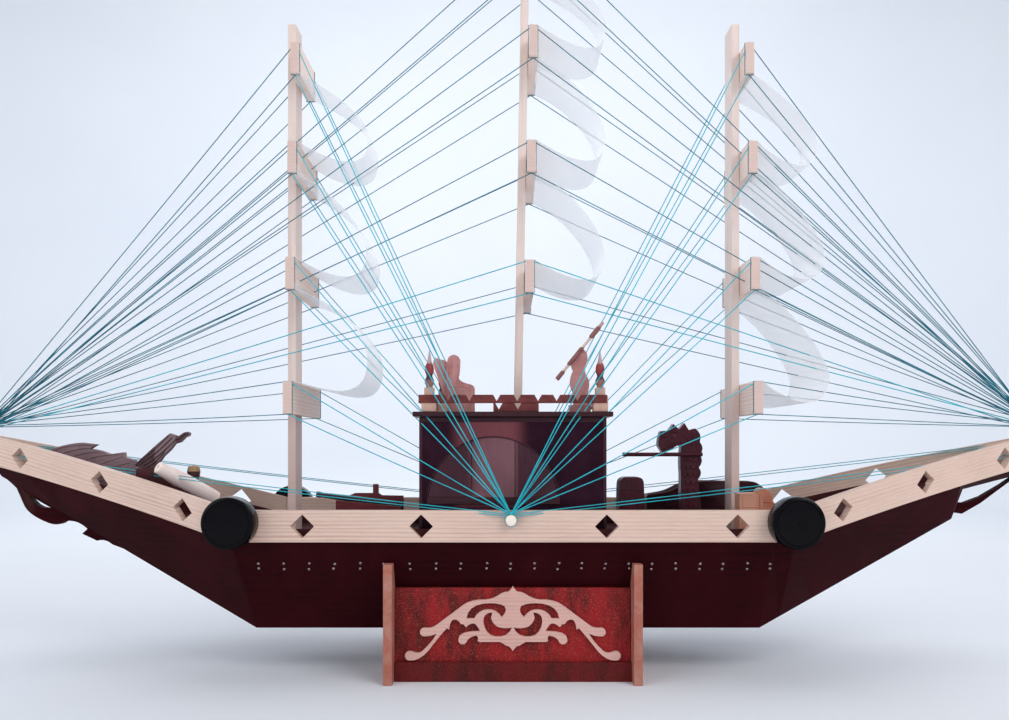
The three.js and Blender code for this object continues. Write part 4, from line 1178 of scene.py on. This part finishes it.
def make_cask_hoops():
    lines = []
    for z in (158, 171, 184, 194):
        half = 13.1 - 0.035 * abs(z - 176)
        lines.append(([(126.8 - half, z), (126.8, z + 0.6), (126.8 + half, z)], 0.7))
    for x in (119, 123, 127, 131, 135):
        lines.append(([(x, 147), (x, 170), (127 + (x - 127) * 0.97, 206)], 0.35))
    carve("cask_hoops", DARK_X, "maroon_stain", ((-62, -38), lines))


BOAT_Y = 55
# Gunwale of the longboat: x, half width, and height above the foot
BOAT_ROWS = [(161, 12, 38), (184, 16, 42), (205, 17, 51), (225, 17, 54), (265, 14, 53.5), (288, 8, 53),
             (301, 1.6, 46)]
THWARTS = ((192, 13.5, 40), (220, 14, 48), (252, 12, 48))


def make_boat_fittings():
    bm = bmesh.new()
    for side in (-1, 1):
        rail = [at(x, BOAT_Y + side * (half - 1.2), FOOT_Z + z) for x, half, z in BOAT_ROWS]
        add_tube(bm, smooth_through(rail), 1.1 * MM, 8)
        for drop in (9, 18):
            narrow = 1 - 0.4 * drop / 52
            strake = [at(x, BOAT_Y + side * (half * narrow + 0.1), FOOT_Z + z - drop)
                      for x, half, z in BOAT_ROWS[1:-1]]
            add_tube(bm, smooth_through(strake), 0.45 * MM)
    for x, half, z in THWARTS:
        top = FOOT_Z + z
        add_box(bm, (x - 3, BOAT_Y - half, top - 2), (x + 3, BOAT_Y + half, top))
    piece("boat_fittings", bm, DARK_CARVED, sharp=50)


def make_crate_boards():
    lines = [([(241.2, z), (253, z + 0.3), (264.8, z)], 0.4) for z in (154, 165, 176)]
    lines += [([(x, 146), (x, 168), (x, 188)], 0.55) for x in (244, 262)]
    low_crate = [([(263.8, z), (272, z + 0.5), (281.6, z)], 0.5) for z in (156, 168, 180)]
    carve("crate_boards", ORANGE_X, "orange_stain", ((-64, -45.2), lines), ((-45.5,), low_crate))


SEAT_LINES = [
    ([(-66, 281), (-66, 300), (-68, 318), (-66, 327)], 0.45),
    ([(-62, 303), (-52, 304), (-44, 300)], 0.45),
]

make_cask_hoops()
make_boat_fittings()
make_crate_boards()
carve("seat_carving", BROWN_Z, "brown_stain", ((-70, -63), SEAT_LINES))

# Studio: a pale floor that curves up into a wall on all sides, and soft lights

FLOOR_FLAT = 2.7
WALL_AT = 3.7
WALL_TOP = 4.2
BEND_STEPS = 12


def make_studio():
    look = Look("studio_paper")
    cloud = look.noise(look.coords, 1.5, 2.0)
    colour = look.ramp(cloud, (0.3, (0.82, 0.85, 0.90)), (0.7, (0.85, 0.875, 0.915)))
    paper = look.finish(colour, 0.9, specular=0.2)
    bend = WALL_AT - FLOOR_FLAT
    profile = [(0.0, 0.0), (0.8, 0.0), (1.8, 0.0)]
    for i in range(BEND_STEPS + 1):
        a = math.pi / 2 * i / BEND_STEPS
        profile.append((FLOOR_FLAT + bend * math.sin(a), bend * (1 - math.cos(a))))
    profile.append((WALL_AT, WALL_TOP))
    bm = bmesh.new()
    add_turned(bm, profile, Vector((0, 0, 0)), Vector((0, 0, 1)), 96, unit=1)
    mesh = bpy.data.meshes.new("studio")
    bm.to_mesh(mesh)
    bm.free()
    mesh.shade_smooth()
    mesh.materials.append(paper)
    studio = add_object("studio", mesh)


WARM, COOL = (1.0, 0.97, 0.95), (0.95, 0.97, 1.0)
LIGHTS = [
    # name, place, aim, size, watts, colour
    ("key", (1.6, -1.8, 1.8), (0, 0, 0.3), 1.6, 31, WARM),
    ("fill", (-1.9, -1.6, 1.2), (0, 0, 0.3), 1.8, 18, COOL),
    ("top", (0.2, 0.3, 2.9), (0, 0, 0.3), 2.2, 18, COOL),
    ("back", (-0.6, 2.3, 1.7), (0, 0, 0.3), 1.8, 10, COOL),
    ("wall", (0.0, 1.7, 2.4), (0, 3.7, 0.9), 2.0, 26, COOL),
]
SKY = 0.38


def make_lights():
    for name, place, aim, size, watts, colour in LIGHTS:
        data = bpy.data.lights.new(name, "AREA")
        data.size = size
        data.energy = watts
        data.color = colour
        light = add_object(name, data)
        light.location = place
        light.rotation_euler = (Vector(aim) - Vector(place)).to_track_quat("-Z", "Y").to_euler()
        light.visible_camera = False
    world = bpy.data.worlds.new("sky")
    world.use_nodes = True
    background = world.node_tree.nodes["Background"]
    background.inputs["Color"].default_value = (0.93, 0.96, 1.0, 1)
    background.inputs["Strength"].default_value = SKY
    bpy.context.scene.world = world
    bpy.context.scene.view_settings.view_transform = "Standard"


make_studio()
make_lights()
